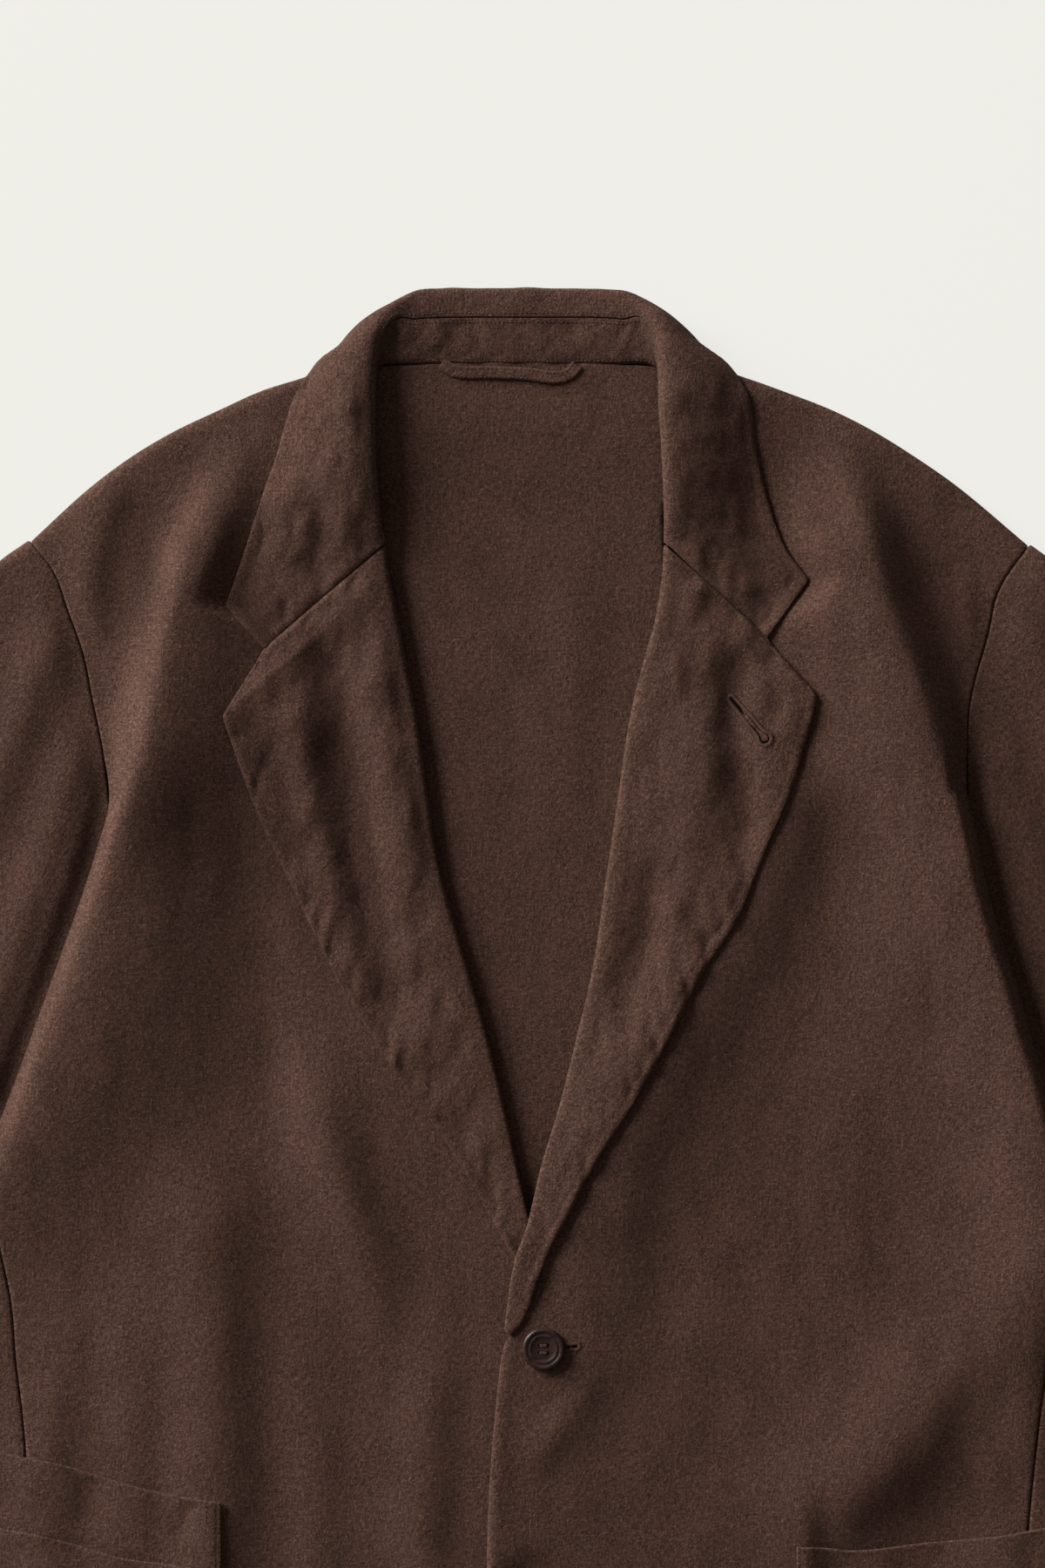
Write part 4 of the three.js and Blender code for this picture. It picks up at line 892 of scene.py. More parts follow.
# Roll line with its height, outer edge, swell over the roll, and how far the front turns under.
LAPEL_ROWS = {
    "right": [
        (-63.8, 277.0, 8.0, -120.4, 227.7, 2.3, 9), (-62.0, 264.0, 8.0, -139.0, 197.0, 2.3, 9),
        (-59.0, 248.0, 7.8, -131.0, 173.0, 2.3, 9), (-55.0, 227.0, 7.6, -122.0, 149.0, 2.3, 9),
        (-48.5, 192.0, 7.4, -106.0, 115.0, 2.2, 9), (-44.0, 160.0, 7.2, -95.0, 92.0, 2.2, 9),
        (-40.0, 133.0, 7.0, -85.0, 72.0, 2.1, 9), (-32.0, 101.0, 6.8, -70.0, 48.0, 2.0, 9),
        (-24.0, 74.0, 6.7, -55.0, 25.0, 1.8, 9), (-15.0, 42.0, 6.6, -40.0, 5.0, 1.7, 8),
        (-7.0, 8.0, 6.5, -24.0, -20.0, 1.4, 7), (0.0, -24.0, 6.3, -11.0, -43.0, 1.2, 6),
        (7.0, -52.0, 6.2, 0.0, -62.0, 0.8, 4.6), (13.0, -72.0, 6.2, 8.5, -77.0, 0.7, 3.4),
    ],
    "left": [
        (68.2, 277.1, 10.8, 116.4, 232.6, 3.6, 9), (67.2, 262.0, 10.8, 139.4, 206.0, 3.6, 9),
        (64.0, 242.0, 10.8, 135.0, 189.0, 3.6, 9), (58.5, 222.0, 10.6, 127.0, 163.0, 3.6, 9),
        (52.0, 195.0, 10.4, 116.0, 137.0, 3.4, 9), (46.5, 157.0, 10.2, 101.0, 101.0, 3.4, 9),
        (41.5, 123.0, 10.2, 85.0, 76.0, 3.2, 9), (35.5, 82.0, 10.2, 66.0, 39.0, 3.0, 9),
        (28.0, 49.0, 10.2, 50.0, 11.0, 2.8, 9), (20.0, 17.0, 10.4, 36.0, -11.0, 2.6, 8),
        (10.5, -15.0, 11.0, 23.0, -36.0, 2.2, 7), (4.0, -42.0, 11.6, 13.0, -55.0, 1.8, 6),
        (-1.6, -58.0, 11.8, 8.4, -67.0, 1.4, 4.2), (-4.2, -72.0, 11.6, 4.6, -78.5, 1.2, 3.0),
        (-5.6, -83.0, 11.3, 0.6, -87.5, 0.9, 2.0), (-6.5, -91.4, 11.0, -4.6, -92.8, 0.6, 1.0),
    ],
}
# Neck seam, fold, how the cloth leaves the fold, how it comes in to the edge, and the outer edge.
COLLAR_BACK = [(1, 362.4, 5.0, 1, 397.4, 4.9, 0, 0.6, -3.9, 0, 40, 0, 1, 349, 1)]
COLLAR_RIGHT = [
    (-25, 362.4, 5.0, -27, 397.4, 5.0, 0, 0.6, -4.0, 0, 40, 0, -25, 349, 1),
    (-47, 362.6, 5.1, -46, 396.6, 6.3, -1.5, 1.0, -4.0, 2, 40, 0, -50, 350, 1),
    (-60, 363.0, 5.3, -56.5, 390.5, 9.6, -4.5, 2.5, 0, 2, 36, 0, -73, 350.5, 1),
    (-67, 361.0, 5.8, -63.4, 383, 11.8, -6, 4, 2, 3, 31, 0, -87, 351, 1),
    (-70, 355.0, 6.0, -67.2, 373, 12.6, -5, 3.5, 6, 1, 26, 2, -91, 352, 1),
    (-71.3, 351.0, 6.0, -68.2, 365, 12.8, -3, 2.5, 7, 0, 13, 5, -96.6, 358, 2.5),
    (-72.5, 347.0, 6.0, -68.6, 356, 13.0, -2, 2, 8, 3, 5, 7, -100.8, 355.2, 5.2),
    (-74.5, 337.0, 6.0, -68.8, 343, 13.0, -1, 1, 8.5, 10, 0, 5, -106.4, 346, 7.2),
    (-75.2, 318.0, 6.0, -68.4, 320, 12.8, 0, 0, 8.5, 12, 0, 4.5, -114, 320, 7.0),
    (-74.4, 300.0, 6.0, -67, 300, 11.4, 0, 0, 7, 14, 0, 4, -122, 297, 7.0),
    (-73.6, 286.0, 5.7, -65.6, 286, 10.0, 0, 0, 5, 16, 4, 1.6, -130, 272, 7.0),
    (-73.2, 280.6, 5.4, -64.4, 280.6, 8.6, 0, 0, 4, 18, 8, 1, -138, 249, 7.0),
    (-73.0, 278.1, 5.2, -63.8, 277.9, 8.1, 0, 0, 3.4, 18, 16, 1, -120, 228.7, 7.0),
]
COLLAR_LEFT = [
    (27, 362.4, 5.0, 28, 397.4, 5.0, 0, 0.6, -4.0, 0, 40, 0, 27, 349, 1),
    (46, 362.6, 5.1, 47, 396.2, 6.3, 1.5, 1.0, -4.0, -2, 40, 0, 50, 350, 1),
    (57, 363.0, 5.3, 57, 390.5, 10.4, 4.5, 2.5, 0, -2, 36, 0, 73, 350.5, 1),
    (64, 361.0, 5.8, 62.2, 383, 13.4, 6, 4, 3, -3, 28, 0, 88, 351, 1),
    (68, 355.0, 6.0, 65, 373, 14.4, 5, 3.5, 7, -1, 26, 2, 93, 352, 1),
    (69.3, 351.0, 6.0, 65.4, 365.5, 15.0, 3, 2.5, 9, 0, 13, 5, 98.4, 358, 2.5),
    (70.5, 347.0, 6.0, 65.8, 357, 15.4, 2, 2, 10, -3, 5, 7, 102.6, 355.6, 5.2),
    (73, 337.0, 6.0, 65.8, 344, 17.0, 1, 1, 12, -10, 0, 5, 107.6, 346, 7.6),
    (74.6, 318.0, 6.0, 67, 322, 16.6, 0, 0, 12, -12, 0, 3.5, 111.2, 320, 7.0),
    (75.0, 300.0, 6.0, 68, 302, 15.0, 0, 0, 10, -14, 0, 2.4, 117, 296, 7.0),
    (75.2, 287.0, 5.7, 68.4, 287, 12.8, 0, 0, 8, -16, 4, 1.6, 124.5, 276, 7.0),
    (75.4, 281.0, 5.4, 68.4, 281, 11.2, 0, 0, 6, -18, 8, 1, 135.5, 261, 7.0),
    (75.5, 278.5, 5.2, 68.4, 278.3, 10.8, 0, 0, 5, -18, 16, 1, 116, 234, 7.0),
]
STAND_SEAM = 0.45  # how far up the inside of the collar the stand ends
TIPS_Y = 312  # the collar's tips begin below this height
BAND_NEAR = [0, 0.3, 0.7, 1.2, 2.0]
# The outer edge of the collar and lapel together, from the shoulder down.
COVER_EDGE = {
    side: [*[row[12:14] for row in collar[6:]], *[row[3:5] for row in LAPEL_ROWS[side][1:]]]
    for side, collar in (("right", COLLAR_RIGHT), ("left", COLLAR_LEFT))
}


def steady(rows, t, corners=()):
    """Each column of a table drawn through its rows without swinging past them; corners stay sharp."""
    rows = np.asarray(rows, float)
    bounds = [0, *corners, len(rows) - 1]
    out = np.empty((len(t), rows.shape[1]))
    for first, last in zip(bounds[:-1], bounds[1:]):
        part = rows[first:last + 1]
        inside = (t >= first) & (t <= last)
        step = np.diff(part, axis=0)
        slope = np.zeros_like(part)
        slope[0], slope[-1] = step[0], step[-1]
        before, after = step[:-1], step[1:]
        same = before * after > 0
        total = np.where(same, before + after, 1)
        slope[1:-1] = np.where(same, 2 * before * after / np.where(total == 0, 1, total), 0)
        local = np.clip(t[inside] - first, 0, last - first)
        k = np.minimum(local.astype(int), last - first - 1)
        s = (local - k)[:, None]
        a, b, m, n = part[k], part[k + 1], slope[k], slope[k + 1]
        out[inside] = (
            a * (2 * s**3 - 3 * s**2 + 1) + m * (s**3 - 2 * s**2 + s) + b * (3 * s**2 - 2 * s**3) + n * (s**3 - s**2)
        )
    return out


def row_places(table, step):
    """Row numbers, with fractions, about a step apart along the longest of a table's columns."""
    lengths = np.linalg.norm(np.diff(table, axis=0), axis=-1).max(axis=-1)
    reach = np.concatenate([[0], np.cumsum(lengths)])
    return np.interp(stations(reach[-1], step, BAND_NEAR), reach, np.arange(len(table)))


def bezier(a, b, c, d, t):
    t = np.atleast_2d(t)[..., None]
    a, b, c, d = (p[:, None] for p in (a, b, c, d))
    return a * (1 - t) ** 3 + 3 * b * t * (1 - t) ** 2 + 3 * c * t**2 * (1 - t) + d * t**3


def even_walk(curves, count, tail):
    """Resamples each row of points by its own length: count even steps, then the tail's distances."""
    tail, out = np.array(tail)[::-1], []
    for points, reach in zip(curves, reached(curves, 1)):
        total = reach[-1]
        ends = total - np.minimum(tail, total * 0.5 * tail / tail[0])
        out.append(walked(np.concatenate([np.linspace(0, ends[0], count, endpoint=False), ends]), reach, points))
    return np.array(out)


EDGE_TAIL = [0, 0.3, 0.7, 1.2, 2.0, 3.0, 4.0, 4.6, 5.0, 5.4, 6.0, 7.2]


def puckers(run, inside, seed, reach=13.0, size=1.25):
    """Short slanting puckers beside a stitched edge. run is the length along it, inside the distance in."""
    wave = noise((run + 0.6 * inside) / 6.5, inside / 22, seed)
    wave = wave + 0.6 * noise((run - 0.5 * inside) / 11, inside / 30, seed + 3)
    strength = 0.55 + 0.45 * noise(run / 34, 0 * run, seed + 5)
    return size * wave * strength * np.exp(-((inside - 3) / reach) ** 2) * ease(inside / 2.5 + 0.15)


def rumpled(x, y, seed):
    """The soft, blotchy surface of cloth that has been washed and sewn double."""
    fine = 0.7 * noise(x / 9, y / 15, seed) + 0.3 * noise(x / 4.6, y / 7, seed + 1)
    return fine + 0.5 * noise(x / 22, y / 40, seed + 2)


def sewn_double(grid, edge, folds, seams, seeds, pucker_size):
    """The relief of a piece that is sewn double: folds, rumples, and puckers at its outer edge and at the
    seams between collar and lapel, where it also sinks. Returned with the distance to those seams."""
    x, y = xy(grid)
    from_edge, from_seam = from_edges(grid, ["last"]), from_edges(grid, seams)
    relief = fold_height(folds, x, y) + rumpled(x, y, seeds[0])
    relief += puckers(reached(edge)[:, None], from_edge, seeds[1], size=pucker_size)
    relief += puckers(reached(grid[0])[None], from_seam, seeds[2], reach=12, size=1.0)
    relief -= 0.14 * np.exp(-((from_edge - 5) / 1.1) ** 2)
    relief *= 1 - np.exp(-((from_seam / 3) ** 2))
    return relief - 0.7 * np.exp(-((from_seam / 1.3) ** 2)), from_seam


def lapel_piece(side):
    sign, left = SIGN[side], side == "left"
    rows = np.array(LAPEL_ROWS[side])
    t = row_places(np.stack([rows[:, :2], rows[:, 3:5]], axis=1), 2.1)
    fold_part = steady(rows[:, [0, 1, 2, 5, 6]], t)
    fold, swell, turn = fold_part[:, :3], fold_part[:, 3:4], fold_part[:, 4:5]
    plan = steady(rows[:, [3, 4]], t, corners=(1,))
    on_front = lambda x, y: front_height(side, x, y) + CLOTH / 2 + LAPEL_CLOTH / 2
    edge = np.hstack([plan, on_front(*plan.T)[:, None] + 0.45])
    level = front_height(side, fold[:, 0] + sign * turn[:, 0], fold[:, 1])[:, None]
    under = np.hstack([fold[:, :1] + sign * turn, fold[:, 1:2], level])
    with_z = lambda points, z: np.hstack([points[:, :2], z])
    leaving = with_z(mix(under, fold, 0.6), level)
    below = with_z(fold, mix(level, fold[:, 2:], 0.25))
    above = with_z(fold, fold[:, 2:] + swell)
    before = with_z(mix(edge, fold, 0.4), mix(edge[:, 2:], fold[:, 2:], 0.35))
    inside = bezier(under, leaving, below, fold, np.linspace(0, 1, 9)[:-1])
    fall = even_walk(bezier(fold, above, before, edge, np.linspace(0, 1, 80)), 40, EDGE_TAIL)
    grid = np.concatenate([inside, fall], axis=1)
    rest = on_front(*xy(grid)) + 0.5
    relief, from_seam = sewn_double(
        grid, edge, LAPEL_FOLDS[side], ["top"], seeds=(61, 81, 85) if left else (71, 91, 85), pucker_size=1.0,
    )
    away = ease(np.linalg.norm(grid - fold[:, None], axis=-1) / 14)
    away[:, :inside.shape[1]] = 0
    grid[..., 2] += relief * away
    grid[..., 1] += 0.1 * np.exp(-from_seam / 2)
    z = grid[..., 2]
    soft = np.where(z < rest, rest - 0.5 + 0.5 * np.exp(np.minimum((z - rest) / 0.5, 0)), z)
    grid[..., 2] = np.where(away > 0.02, soft, z)
    grain = turned_grain(grid, -20 if left else 24, (4200, 700 * sign))
    return wall(f"lapel_{side}", grid, LAPEL_CLOTH, grain, radius=1.0, top=0.5, last=2.4), grid


def collar_pieces():
    """The fall with its roll, and the stand inside it. Both start at the stand seam."""
    rows = np.array([*COLLAR_RIGHT[::-1], *COLLAR_BACK, *COLLAR_LEFT])
    t = row_places(rows.reshape(len(rows), 5, 3)[:, [0, 1, 4]], 2.0)
    smooth_part = steady(rows[:, :9], t)
    edge_part = steady(rows[:, 9:], t, corners=(1, len(rows) - 2))
    seam, fold, over = smooth_part[:, :3], smooth_part[:, 3:6], smooth_part[:, 6:9]
    under, edge = edge_part[:, :3], edge_part[:, 3:]
    seam_at = (STAND_SEAM + 0.34 * ease((np.abs(fold[:, 0]) - 48) / 18))[:, None]
    inside = lambda share: bezier(seam, mix(seam, fold - 0.6 * over, 0.5), fold - 0.6 * over, fold, share)
    reach = np.linspace(0, 1, 100)[None]
    lower = even_walk(inside(seam_at * reach), 12, BAND_NEAR)
    upper = even_walk(inside(mix(seam_at + 0.005, 1, reach))[:, ::-1], 10, BAND_NEAR[:4])[:, ::-1]
    fall = even_walk(bezier(fold, fold + over, edge + under, edge, np.linspace(0, 1, 90)), 46, EDGE_TAIL)
    grid = np.concatenate([upper[:, :-1], fall], axis=1)
    x, y = xy(grid)
    side_front = np.where(x < 0, front_height("right", x, y), front_height("left", x, y))
    rest = side_front + CLOTH / 2 + 0.5 + COLLAR_CLOTH / 2
    up_front = ease((edge[:, 2:] - 4) / 3)
    relief, from_seam = sewn_double(
        grid, edge, COLLAR_FOLDS, ["top", "bottom"], seeds=(101, 111, 115), pucker_size=1.25,
    )
    away = ease(np.linalg.norm(grid - fold[:, None], axis=-1) / 12) * up_front
    away[:, :upper.shape[1] - 1] = 0
    grid[..., 2] += relief * away
    grid[..., 1] -= 0.1 * np.exp(-from_seam / 2)
    along = reached(fold)[:, None]
    top_band = 0.5 * rumpled(along * 0.8, grid[..., 1], 105) * (1 - up_front)
    grid += normals_of(grid) * (top_band * ease(from_edges(grid, ["first"]) / 4))[..., None]
    z = grid[..., 2]
    sunk = (edge[:, 2:] > 5) & (z < rest) & (away > 0.02)
    grid[..., 2] = np.where(sunk, mix(z, rest, ease(up_front) * ease(away * 6)), z)
    grain = lambda g, run, shift: np.stack([run + 0 * g[..., 0] + shift, from_edges(g, ["first"])], -1)
    # Round the tips the threads keep to the cloth's own length, not to that of the roll.
    steps = np.where(fold[1:, 1:2] < TIPS_Y, np.diff(reached(grid), axis=0), np.diff(along, axis=0))
    fanned = np.vstack([np.zeros((1, grid.shape[1])), np.cumsum(steps, axis=0)])
    fanned -= fanned[len(fanned) // 2]
    collar = wall("collar", grid, COLLAR_CLOTH, grain(grid, fanned, 5200), radius=0.5, first=0.35, last=2.4)
    up = from_edges(lower, ["first"])
    wave = 0.85 * noise((along + 0.5 * up) / 8, up / 16, 121) + 0.4 * noise((along - 0.6 * up) / 4.5, up / 9, 122)
    lower = lower - normals_of(lower) * (wave * ease(from_edges(lower, ["first", "last"]) / 3))[..., None]
    lower[..., 2] -= 1.0 * np.exp(-up / 2.4)
    stand = wall("collar_stand", lower, CLOTH, grain(lower, along, 6200), radius=0.4, first=0.8)
    return collar, stand, grid, lower


# ---------------------------------------------------------------- pockets and loop

POCKETS = {
    "pocket_right_inner": {
        "side": "right", "depth": 95, "lift": 2.3, "gape": 0.6,
        "mouth": [(-140, -171), (-166, -167), (-190, -161), (-217, -153), (-245, -148), (-276, -143)],
        "folds": [([(-152, -168), (-158, -182), (-162, -192)], -1.5, 4, 5, 0.2, 0.3),
                  ([(-200, -158), (-205, -184)], -0.9, 6, 6, 0.2, 0.2),
                  ([(-176, -160), (-178, -200)], 0.8, 8, 8, 0.2, 0.2)],
    },
    "pocket_right": {
        "side": "right", "depth": 156, "lift": 4.6, "gape": 1.2,
        "mouth": [(-139, -203), (-166, -199.5), (-185, -197), (-205, -191.5), (-225, -186), (-245, -183),
                  (-278, -178)],
        "folds": [([(-214, -190), (-206, -240), (-214, -330)], 1.6, 12, 12, 0.1, 0.4),
                  ([(-170, -200), (-172, -260), (-168, -340)], 1.2, 12, 12, 0.1, 0.4)],
    },
    "pocket_left": {
        "side": "left", "depth": 160, "lift": 3.0, "gape": 2.4,
        "mouth": [(130, -192), (142, -192.5), (156, -194), (188, -191), (225, -187), (247, -183), (279, -178)],
        "folds": [([(166, -190), (170, -250), (164, -330)], 1.4, 14, 12, 0.1, 0.4),
                  ([(220, -184), (226, -250), (222, -330)], 1.4, 14, 12, 0.1, 0.4)],
    },
}
POCKET_CORNER = 20
POCKET_STEP = 2.6
POCKET_NEAR = [0, 0.3, 0.7, 1.2, 1.6, 2.0, 2.4, 3.2, 4.4]


def pocket_piece(name):
    facts = POCKETS[name]
    side, mouth, depth = facts["side"], facts["mouth"], facts["depth"]
    sign = SIGN[side]

    def down(place, inward):
        """A side of the patch with the first half of its round corner, and the corner's second half."""
        x, y = place
        arc = [(x + POCKET_CORNER * inward * (1 - math.cos(a)), y - depth + POCKET_CORNER * (1 - math.sin(a)))
               for a in np.radians(np.linspace(0, 90, 11))]
        return Path([place, *arc[:6]], False), arc[5:]

    (inner, inner_corner), (outer, outer_corner) = down(mouth[0], sign), down(mouth[-1], -sign)
    paths = (Path(mouth), Path([*inner_corner, *outer_corner[::-1]], False), inner, outer)
    width = paths[0].length
    v = stations(depth, POCKET_STEP, POCKET_NEAR) / depth
    u = stations(width, POCKET_STEP, POCKET_NEAR)[None] / width
    plan = patch(*paths, u, v[:, None])
    x, y = xy(plan)
    from_mouth = from_edges(plan, ["top"])
    from_sides = from_edges(plan, ["first", "last", "bottom"])
    along = u * width + 0 * x
    z = front_height(side, x, y) + facts["lift"]
    z += facts["gape"] * np.exp(-from_mouth / 16) * np.sin(np.pi * np.clip(along / width, 0, 1)) ** 0.7
    z += fold_height(facts["folds"], x, y) * ease(from_sides / 14)
    z += puckers(along, from_mouth, 131, reach=12, size=0.25) + puckers(y, from_sides, 132, reach=6, size=0.22)
    z -= 0.3 * np.exp(-((from_sides - 2) / 0.6) ** 2) + 0.25 * np.exp(-((from_mouth - 26) / 1.0) ** 2)
    z -= round_over(from_sides, 2.2, 1.0)
    grid = np.dstack([plan, z])
    return wall(name, grid, CLOTH, turned_grain(grid, 2 * sign, (7200 + 300 * sign, 0))), grid


LOOP_WIDTH, LOOP_CLOTH = 5.9, 1.3
LOOP_LINE = [(-37, 362.6), (-32, 359.8), (-27, 358.6), (-10, 358.6), (6, 357.6), (14, 356.4), (20, 356.6),
             (24.6, 359), (27, 362.4)]
LOOP_ACROSS = np.array([-0.5, -0.47, -0.42, -0.36, -0.3, -0.2, -0.07, 0.07, 0.2, 0.3, 0.36, 0.42, 0.47, 0.5])


def loop_piece():
    line = Path(LOOP_LINE)
    t = stations(line.length, 1.2, [0, 0.3, 0.7]) / line.length
    ahead = line.at(t + 0.004) - line.at(t - 0.004)
    ahead /= np.linalg.norm(ahead, axis=-1, keepdims=True)
    square = np.stack([-ahead[:, 1], ahead[:, 0]], -1)
    plan = line.at(t)[:, None] + square[:, None] * (LOOP_ACROSS[None, :, None] * LOOP_WIDTH)
    t = t[:, None]
    uneven_part = 0.3 * noise(t * 9, LOOP_ACROSS[None] * 2, 141)
    grid = np.dstack([plan, FLOOR + 3.7 + CLOTH / 2 + uneven_part + 0.25 * np.sin(np.pi * t)])
    grain = np.stack(np.broadcast_arrays(t * line.length, LOOP_ACROSS[None] * 5), -1)
    return wall("hanger_loop", grid, LOOP_CLOTH, grain, radius=0.8), grid


# ---------------------------------------------------------------- buttons

BUTTON_PROFILE = [
    (0, 0), (8.0, 0), (9.0, 0.25), (9.7, 0.8), (10.0, 1.6), (9.85, 2.4), (9.4, 2.95), (8.8, 3.2), (8.1, 3.1),
    (7.6, 2.75), (7.3, 2.62), (7.0, 2.72), (6.6, 2.95), (6.1, 2.9), (5.6, 2.55), (4.6, 2.32), (3.0, 2.22),
    (1.5, 2.2), (0, 2.2),
]
HOLE_RADIUS, HOLE_CIRCLE = 0.95, 2.4


def turned(name, profile, sides, centre):
    """A shape turned about its axis; the profile starts and ends on the axis."""
    angles = np.linspace(0, 2 * math.pi, sides, endpoint=False)
    rings = [np.stack([r * np.cos(angles), r * np.sin(angles), np.full(sides, float(z))], -1)
             for r, z in profile[1:-1]]
    points = np.concatenate([[[0, 0, profile[0][1]]], *rings, [[0, 0, profile[-1][1]]]])
    step = lambda ring, k: 1 + ring * sides + k % sides
    last, faces = len(rings) - 1, []
    for k in range(sides):
        faces.append((0, step(0, k + 1), step(0, k)))
        for ring in range(last):
            faces.append((step(ring, k), step(ring, k + 1), step(ring + 1, k + 1), step(ring + 1, k)))
        faces.append((step(last, k), step(last, k + 1), len(points) - 1))
    made = bpy.data.objects.new(name, new_mesh(name, points + centre, faces))
    bpy.context.scene.collection.objects.link(made)
    return made


def button_piece(name):
    """A four-hole button; returns where its middle sits in the jacket's layout."""
    low, high = box_of(name)
    centre = np.array([*((low + high) / 2)[:2], low[2]]) - OFFSET
    disc = turned(f"{name}_disc", BUTTON_PROFILE, 72, centre)
    cutters = []
    for k in range(4):
        angle = (k + 0.5) * math.pi / 2
        place = centre + np.array([HOLE_CIRCLE * math.cos(angle), HOLE_CIRCLE * math.sin(angle), 0])
        drill = [(0, -2), (HOLE_RADIUS, -2), (HOLE_RADIUS, 6), (0, 6)]
        cutters.append(turned(f"{name}_drill_{k}", drill, 20, place))
        cut = disc.modifiers.new(f"hole {k}", "BOOLEAN")
        cut.operation, cut.object, cut.solver = "DIFFERENCE", cutters[-1], "EXACT"
    graph = bpy.context.evaluated_depsgraph_get()
    mesh = bpy.data.meshes.new_from_object(disc.evaluated_get(graph))
    for spare in (*cutters, disc):
        bpy.data.objects.remove(spare)
    mesh.name = name
    mesh.shade_smooth()
    mesh.set_sharp_from_angle(angle=math.radians(50))
    mesh.materials.clear()
    mesh.materials.append(HORN)
    finish_piece(mesh, name)
    return centre


# ---------------------------------------------------------------- sewing


def make_stitch_tree():
    """Short threads laid end to end along every curve."""
    sizes = (("Pitch", 0.0026), ("Stitch length", 0.0021), ("Thread radius", 0.00022), ("Unevenness", 0.12),
             ("Turn", 0.0))
    tree, given, result = node_group(
        "Stitch row", "GeometryNodeTree",
        [("Geometry", "Geometry"), *[(label, "Float", value) for label, value in sizes], ("Thread", "Material")],
        [("Geometry", "Geometry")],
    )
    number = lambda sockets: [socket for socket in sockets if socket.type == "VALUE" and socket.enabled]
    walk = add(
        tree, "GeometryNodeCurveToPoints", mode="LENGTH",
        inputs={"Curve": given["Geometry"], "Length": given["Pitch"]},
    )
    ball = add(tree, "GeometryNodeMeshUVSphere", {"Segments": 6, "Rings": 5, "Radius": 1.0})
    half, thick = calc(tree, "MULTIPLY", given["Stitch length"], 0.5), given["Thread radius"]
    size = add(tree, "ShaderNodeCombineXYZ", {"X": half, "Y": thick, "Z": thick})
    stitch = add(tree, "GeometryNodeTransform", {"Geometry": ball.outputs["Mesh"], "Scale": size.outputs[0]})
    align = add(tree, "FunctionNodeAlignRotationToVector", {"Vector": walk.outputs["Tangent"]}, axis="X")
    turn = add(tree, "FunctionNodeAxisAngleToRotation", {"Axis": (0, 0, 1), "Angle": given["Turn"]})
    spin = add(
        tree, "FunctionNodeRotateRotation", rotation_space="GLOBAL",
        inputs={"Rotation": align.outputs["Rotation"], "Rotate By": turn.outputs["Rotation"]},
    )
    vary = add(tree, "FunctionNodeRandomValue", {"Seed": 7})
    for socket, operation in zip(number(vary.inputs), ("SUBTRACT", "ADD")):
        join(tree, socket, calc(tree, operation, 1.0, given["Unevenness"]))
    row = add(tree, "GeometryNodeInstanceOnPoints", {
        "Points": walk.outputs["Points"], "Instance": stitch.outputs["Geometry"],
        "Rotation": spin.outputs["Rotation"], "Scale": number(vary.outputs)[0],
    })
    real = add(tree, "GeometryNodeRealizeInstances", {"Geometry": row.outputs["Instances"]})
    dyed = add(tree, "GeometryNodeSetMaterial", {"Geometry": real.outputs["Geometry"], "Material": given["Thread"]})
    join(tree, result["Geometry"], dyed.outputs["Geometry"])
    return tree


STITCHES = make_stitch_tree()


def sew(name, lines, pitch=2.6, length=2.1, thread=0.22, uneven_by=0.12, turn=0.0):
    """Stitches along lines of points, as one plain mesh."""
    data = bpy.data.curves.new(name, "CURVE")
    data.dimensions = "3D"
    for line in lines:
        spline = data.splines.new("POLY")
        spline.points.add(len(line) - 1)
        spots = (np.asarray(line) + OFFSET) * MM
        spline.points.foreach_set("co", np.hstack([spots, np.ones((len(spots), 1))]).ravel())
    row = bpy.data.objects.new(f"{name}_rows", data)
    bpy.context.scene.collection.objects.link(row)
    modifier = row.modifiers.new("stitches", "NODES")
    modifier.node_group = STITCHES
    values = {"Pitch": pitch * MM, "Stitch length": length * MM, "Thread radius": thread * MM,
              "Unevenness": uneven_by, "Turn": turn, "Thread": THREAD}
    for item in STITCHES.interface.items_tree:
        if item.in_out == "INPUT" and item.name in values:
            modifier[item.identifier] = values[item.name]
    graph = bpy.context.evaluated_depsgraph_get()
    mesh = bpy.data.meshes.new_from_object(row.evaluated_get(graph))
    row.modifiers.remove(modifier)
    bpy.data.objects.remove(row)
    mesh.name = name
    mesh.shade_smooth()
    return finish_piece(mesh)


def beside(grid, edge, inside, by, start=0.0, end=1.0):
    """A line on the cloth along one edge of a grid, some way inside it and raised from its middle."""
    raised = normals_of(grid)
    raised *= np.where(raised[..., 2].mean() < 0, -1, 1)
    lines = grid + raised * by
    if edge in ("top", "bottom"):
        lines = lines.swapaxes(0, 1)
    if edge in ("bottom", "last"):
        lines = lines[:, ::-1]
    out = np.array([walked(inside, reach, line) for line, reach in zip(lines, reached(lines, 1))])
    count = len(out) - 1
    return out[int(start * count):int(end * count) + 1]


def laid_on(grid, by, spots):
    """Flat spots raised to a piece's upper face."""
    flat, out = grid.reshape(-1, 3), []
    for x, y in spots:
        away = (flat[:, 0] - x) ** 2 + (flat[:, 1] - y) ** 2
        near = np.argsort(away)[:4]
        share = 1 / (away[near] + 0.01)
        out.append((x, y, (flat[near, 2] * share).sum() / share.sum() + by))
    return np.array(out)


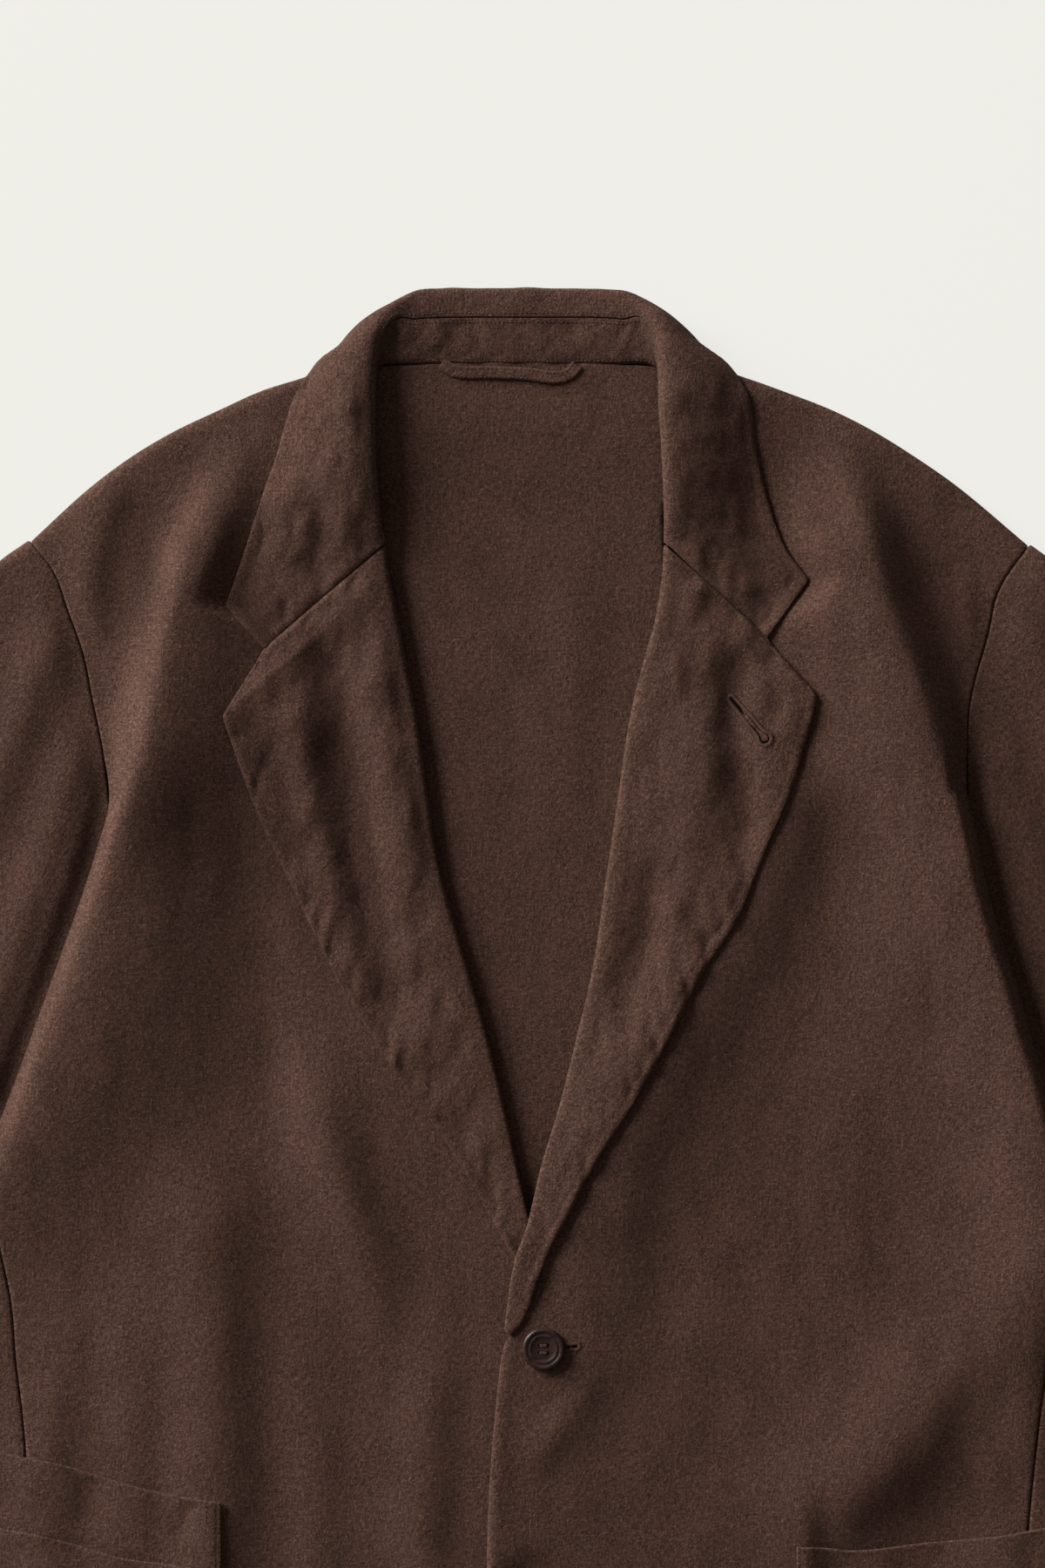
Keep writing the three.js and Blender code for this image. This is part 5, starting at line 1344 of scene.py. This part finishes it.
def buttonhole(name, grid, half_cloth, start, end, eye):
    """A slit worked round with close stitches, ending in a round eye; its opening is a thin near-black sheet of
    painted shade.
    """
    start, end = np.array(start, float), np.array(end, float)
    length = np.linalg.norm(end - start)
    ahead = (end - start) / length
    square = np.array([-ahead[1], ahead[0]])
    outline = [(0, 0.45), (0.25 * length, 0.34 * eye), (0.5 * length, 0.46 * eye), (length - 2.3 * eye, 0.5 * eye),
               (length - 1.6 * eye, 0.8 * eye), (length - eye, eye), (length - 0.3 * eye, 0.75 * eye), (length, 0)]
    sides = [start + ahead * a + square * b for a, b in outline]
    sides += [start + ahead * a - square * b for a, b in outline[-2::-1]]
    spots = rounded(sides + sides[:1], 6)[:-1]
    raised = laid_on(grid, half_cloth, spots)
    centre = raised.mean(axis=0)
    up, down = np.array((0, 0, 0.14)), np.array((0, 0, 0.3))
    count = len(spots)
    faces = []
    for k in range(count):
        after = (k + 1) % count
        faces += [(2 * count, k, after), (2 * count + 1, count + after, count + k),
                  (k, count + k, count + after, after)]
    if np.cross(spots[1] - spots[0], spots[2] - spots[1]) < 0:
        faces = [face[::-1] for face in faces]
    points = np.vstack([raised + up, raised - down, centre + up, centre - down])
    # The opening is a thin near-black sheet laid over the cloth: painted shade, not a cut through it.
    slit = finish_piece(new_mesh(f"{name}_slit", points, faces, SLIT_SHADE))
    ahead_on = np.roll(spots, -1, axis=0) - np.roll(spots, 1, axis=0)
    turn = np.sign(np.cross(spots[0] - spots.mean(axis=0), ahead_on[0]))
    outwards = np.stack([ahead_on[:, 1], -ahead_on[:, 0]], -1) * turn
    ring = raised + (0, 0, 0.15)
    ring[:, :2] += 0.9 * outwards / np.linalg.norm(outwards, axis=-1, keepdims=True)
    stitches = sew(
        f"{name}_stitches", [[*ring, ring[0]]], pitch=0.44, length=2.1, thread=0.24, uneven_by=0.16, turn=math.pi / 2,
    )
    return [slit, stitches]


# ---------------------------------------------------------------- the jacket

pieces, front_grids = {"back": back_piece()}, {}
for side in ("right", "left"):
    pieces[f"front_{side}"], front_grids[side] = front_piece(side)
    pieces[f"side_panel_{side}"] = side_piece(side)
    pieces[f"sleeve_upper_{side}"] = upper_sleeve(side)
    pieces[f"sleeve_under_{side}"] = under_sleeve(side)
lapel_grids, pocket_grids = {}, {}
for side in ("right", "left"):
    pieces[f"lapel_{side}"], lapel_grids[side] = lapel_piece(side)
pieces["collar"], pieces["collar_stand"], collar_grid, stand_grid = collar_pieces()
for name in POCKETS:
    pieces[name], pocket_grids[name] = pocket_piece(name)
pieces["hanger_loop"], loop_grid = loop_piece()
button_centres = {name: button_piece(name) for name in BUTTONS}

THREAD_LIFT = 0.14  # a stitch's middle above the cloth
on_cloth = CLOTH / 2 + THREAD_LIFT
LAPEL_HOLE = ((98.6, 205.9), (115.9, 184.8), 2.25)
FRONT_HOLES = {"upper": -99, "lower": -216}


def sew_rows(name, grid, edges, inside, by, pitch, length, thread, start=0.0, end=1.0):
    """One piece of stitching with a row along each of these edges, this far inside them."""
    rows = [beside(grid, edge, depth, by, start, end) for edge, depth in zip(edges, inside)]
    return [sew(name, rows, pitch, length, thread)]


sewn_to = {
    "collar_stand": sew_rows(
        "stand_stitches", stand_grid, ("last", "first"), (2.0, 1.8), -on_cloth,
        pitch=2.0, length=1.5, thread=0.19, start=0.14, end=0.86,
    ),
    "collar": sew_rows(
        "collar_stitches", collar_grid, ["first"], [2.0], COLLAR_CLOTH / 2 + 0.1,
        pitch=2.0, length=1.5, thread=0.19, start=0.22, end=0.78,
    ),
    "hanger_loop": sew_rows(
        "loop_stitches", loop_grid, ("last", "first"), (1.0, 1.0), 0.75, pitch=1.9, length=1.4, thread=0.17,
    ),
    "lapel_left": buttonhole("lapel_buttonhole", lapel_grids["left"], LAPEL_CLOTH / 2, *LAPEL_HOLE),
    "front_left": [
        piece for name, y in FRONT_HOLES.items()
        for piece in buttonhole(f"{name}_buttonhole", front_grids["left"], CLOTH / 2, (4, y), (27.0, y + 1), 0.75)
    ],
}
for name, grid in pocket_grids.items():
    rows = [beside(grid, edge, 1.9, on_cloth) for edge in ("first", "last", "bottom")]
    # A short second row stands beside the first at the pocket's inner corner.
    rows.append(beside(grid, "first", 8.5, on_cloth, 0.0, 0.22 if name == "pocket_right_inner" else 0.1))
    sewn_to[name] = [sew(f"{name}_stitches", rows, pitch=2.2, length=1.7, thread=0.17)]
for name, centre in button_centres.items():
    # Two pairs of threads, each from one hole over to the next.
    over = ((-1.9, 1.7), (-1.3, 2.45), (1.3, 2.45), (1.9, 1.7))
    bars = [np.array([centre + (a, b + c, z) for a, z in over]) for b in (-1.7, 1.7) for c in (-0.3, 0.3)]
    sew(f"{name}_thread", bars, pitch=0.3, length=0.8, thread=0.24)
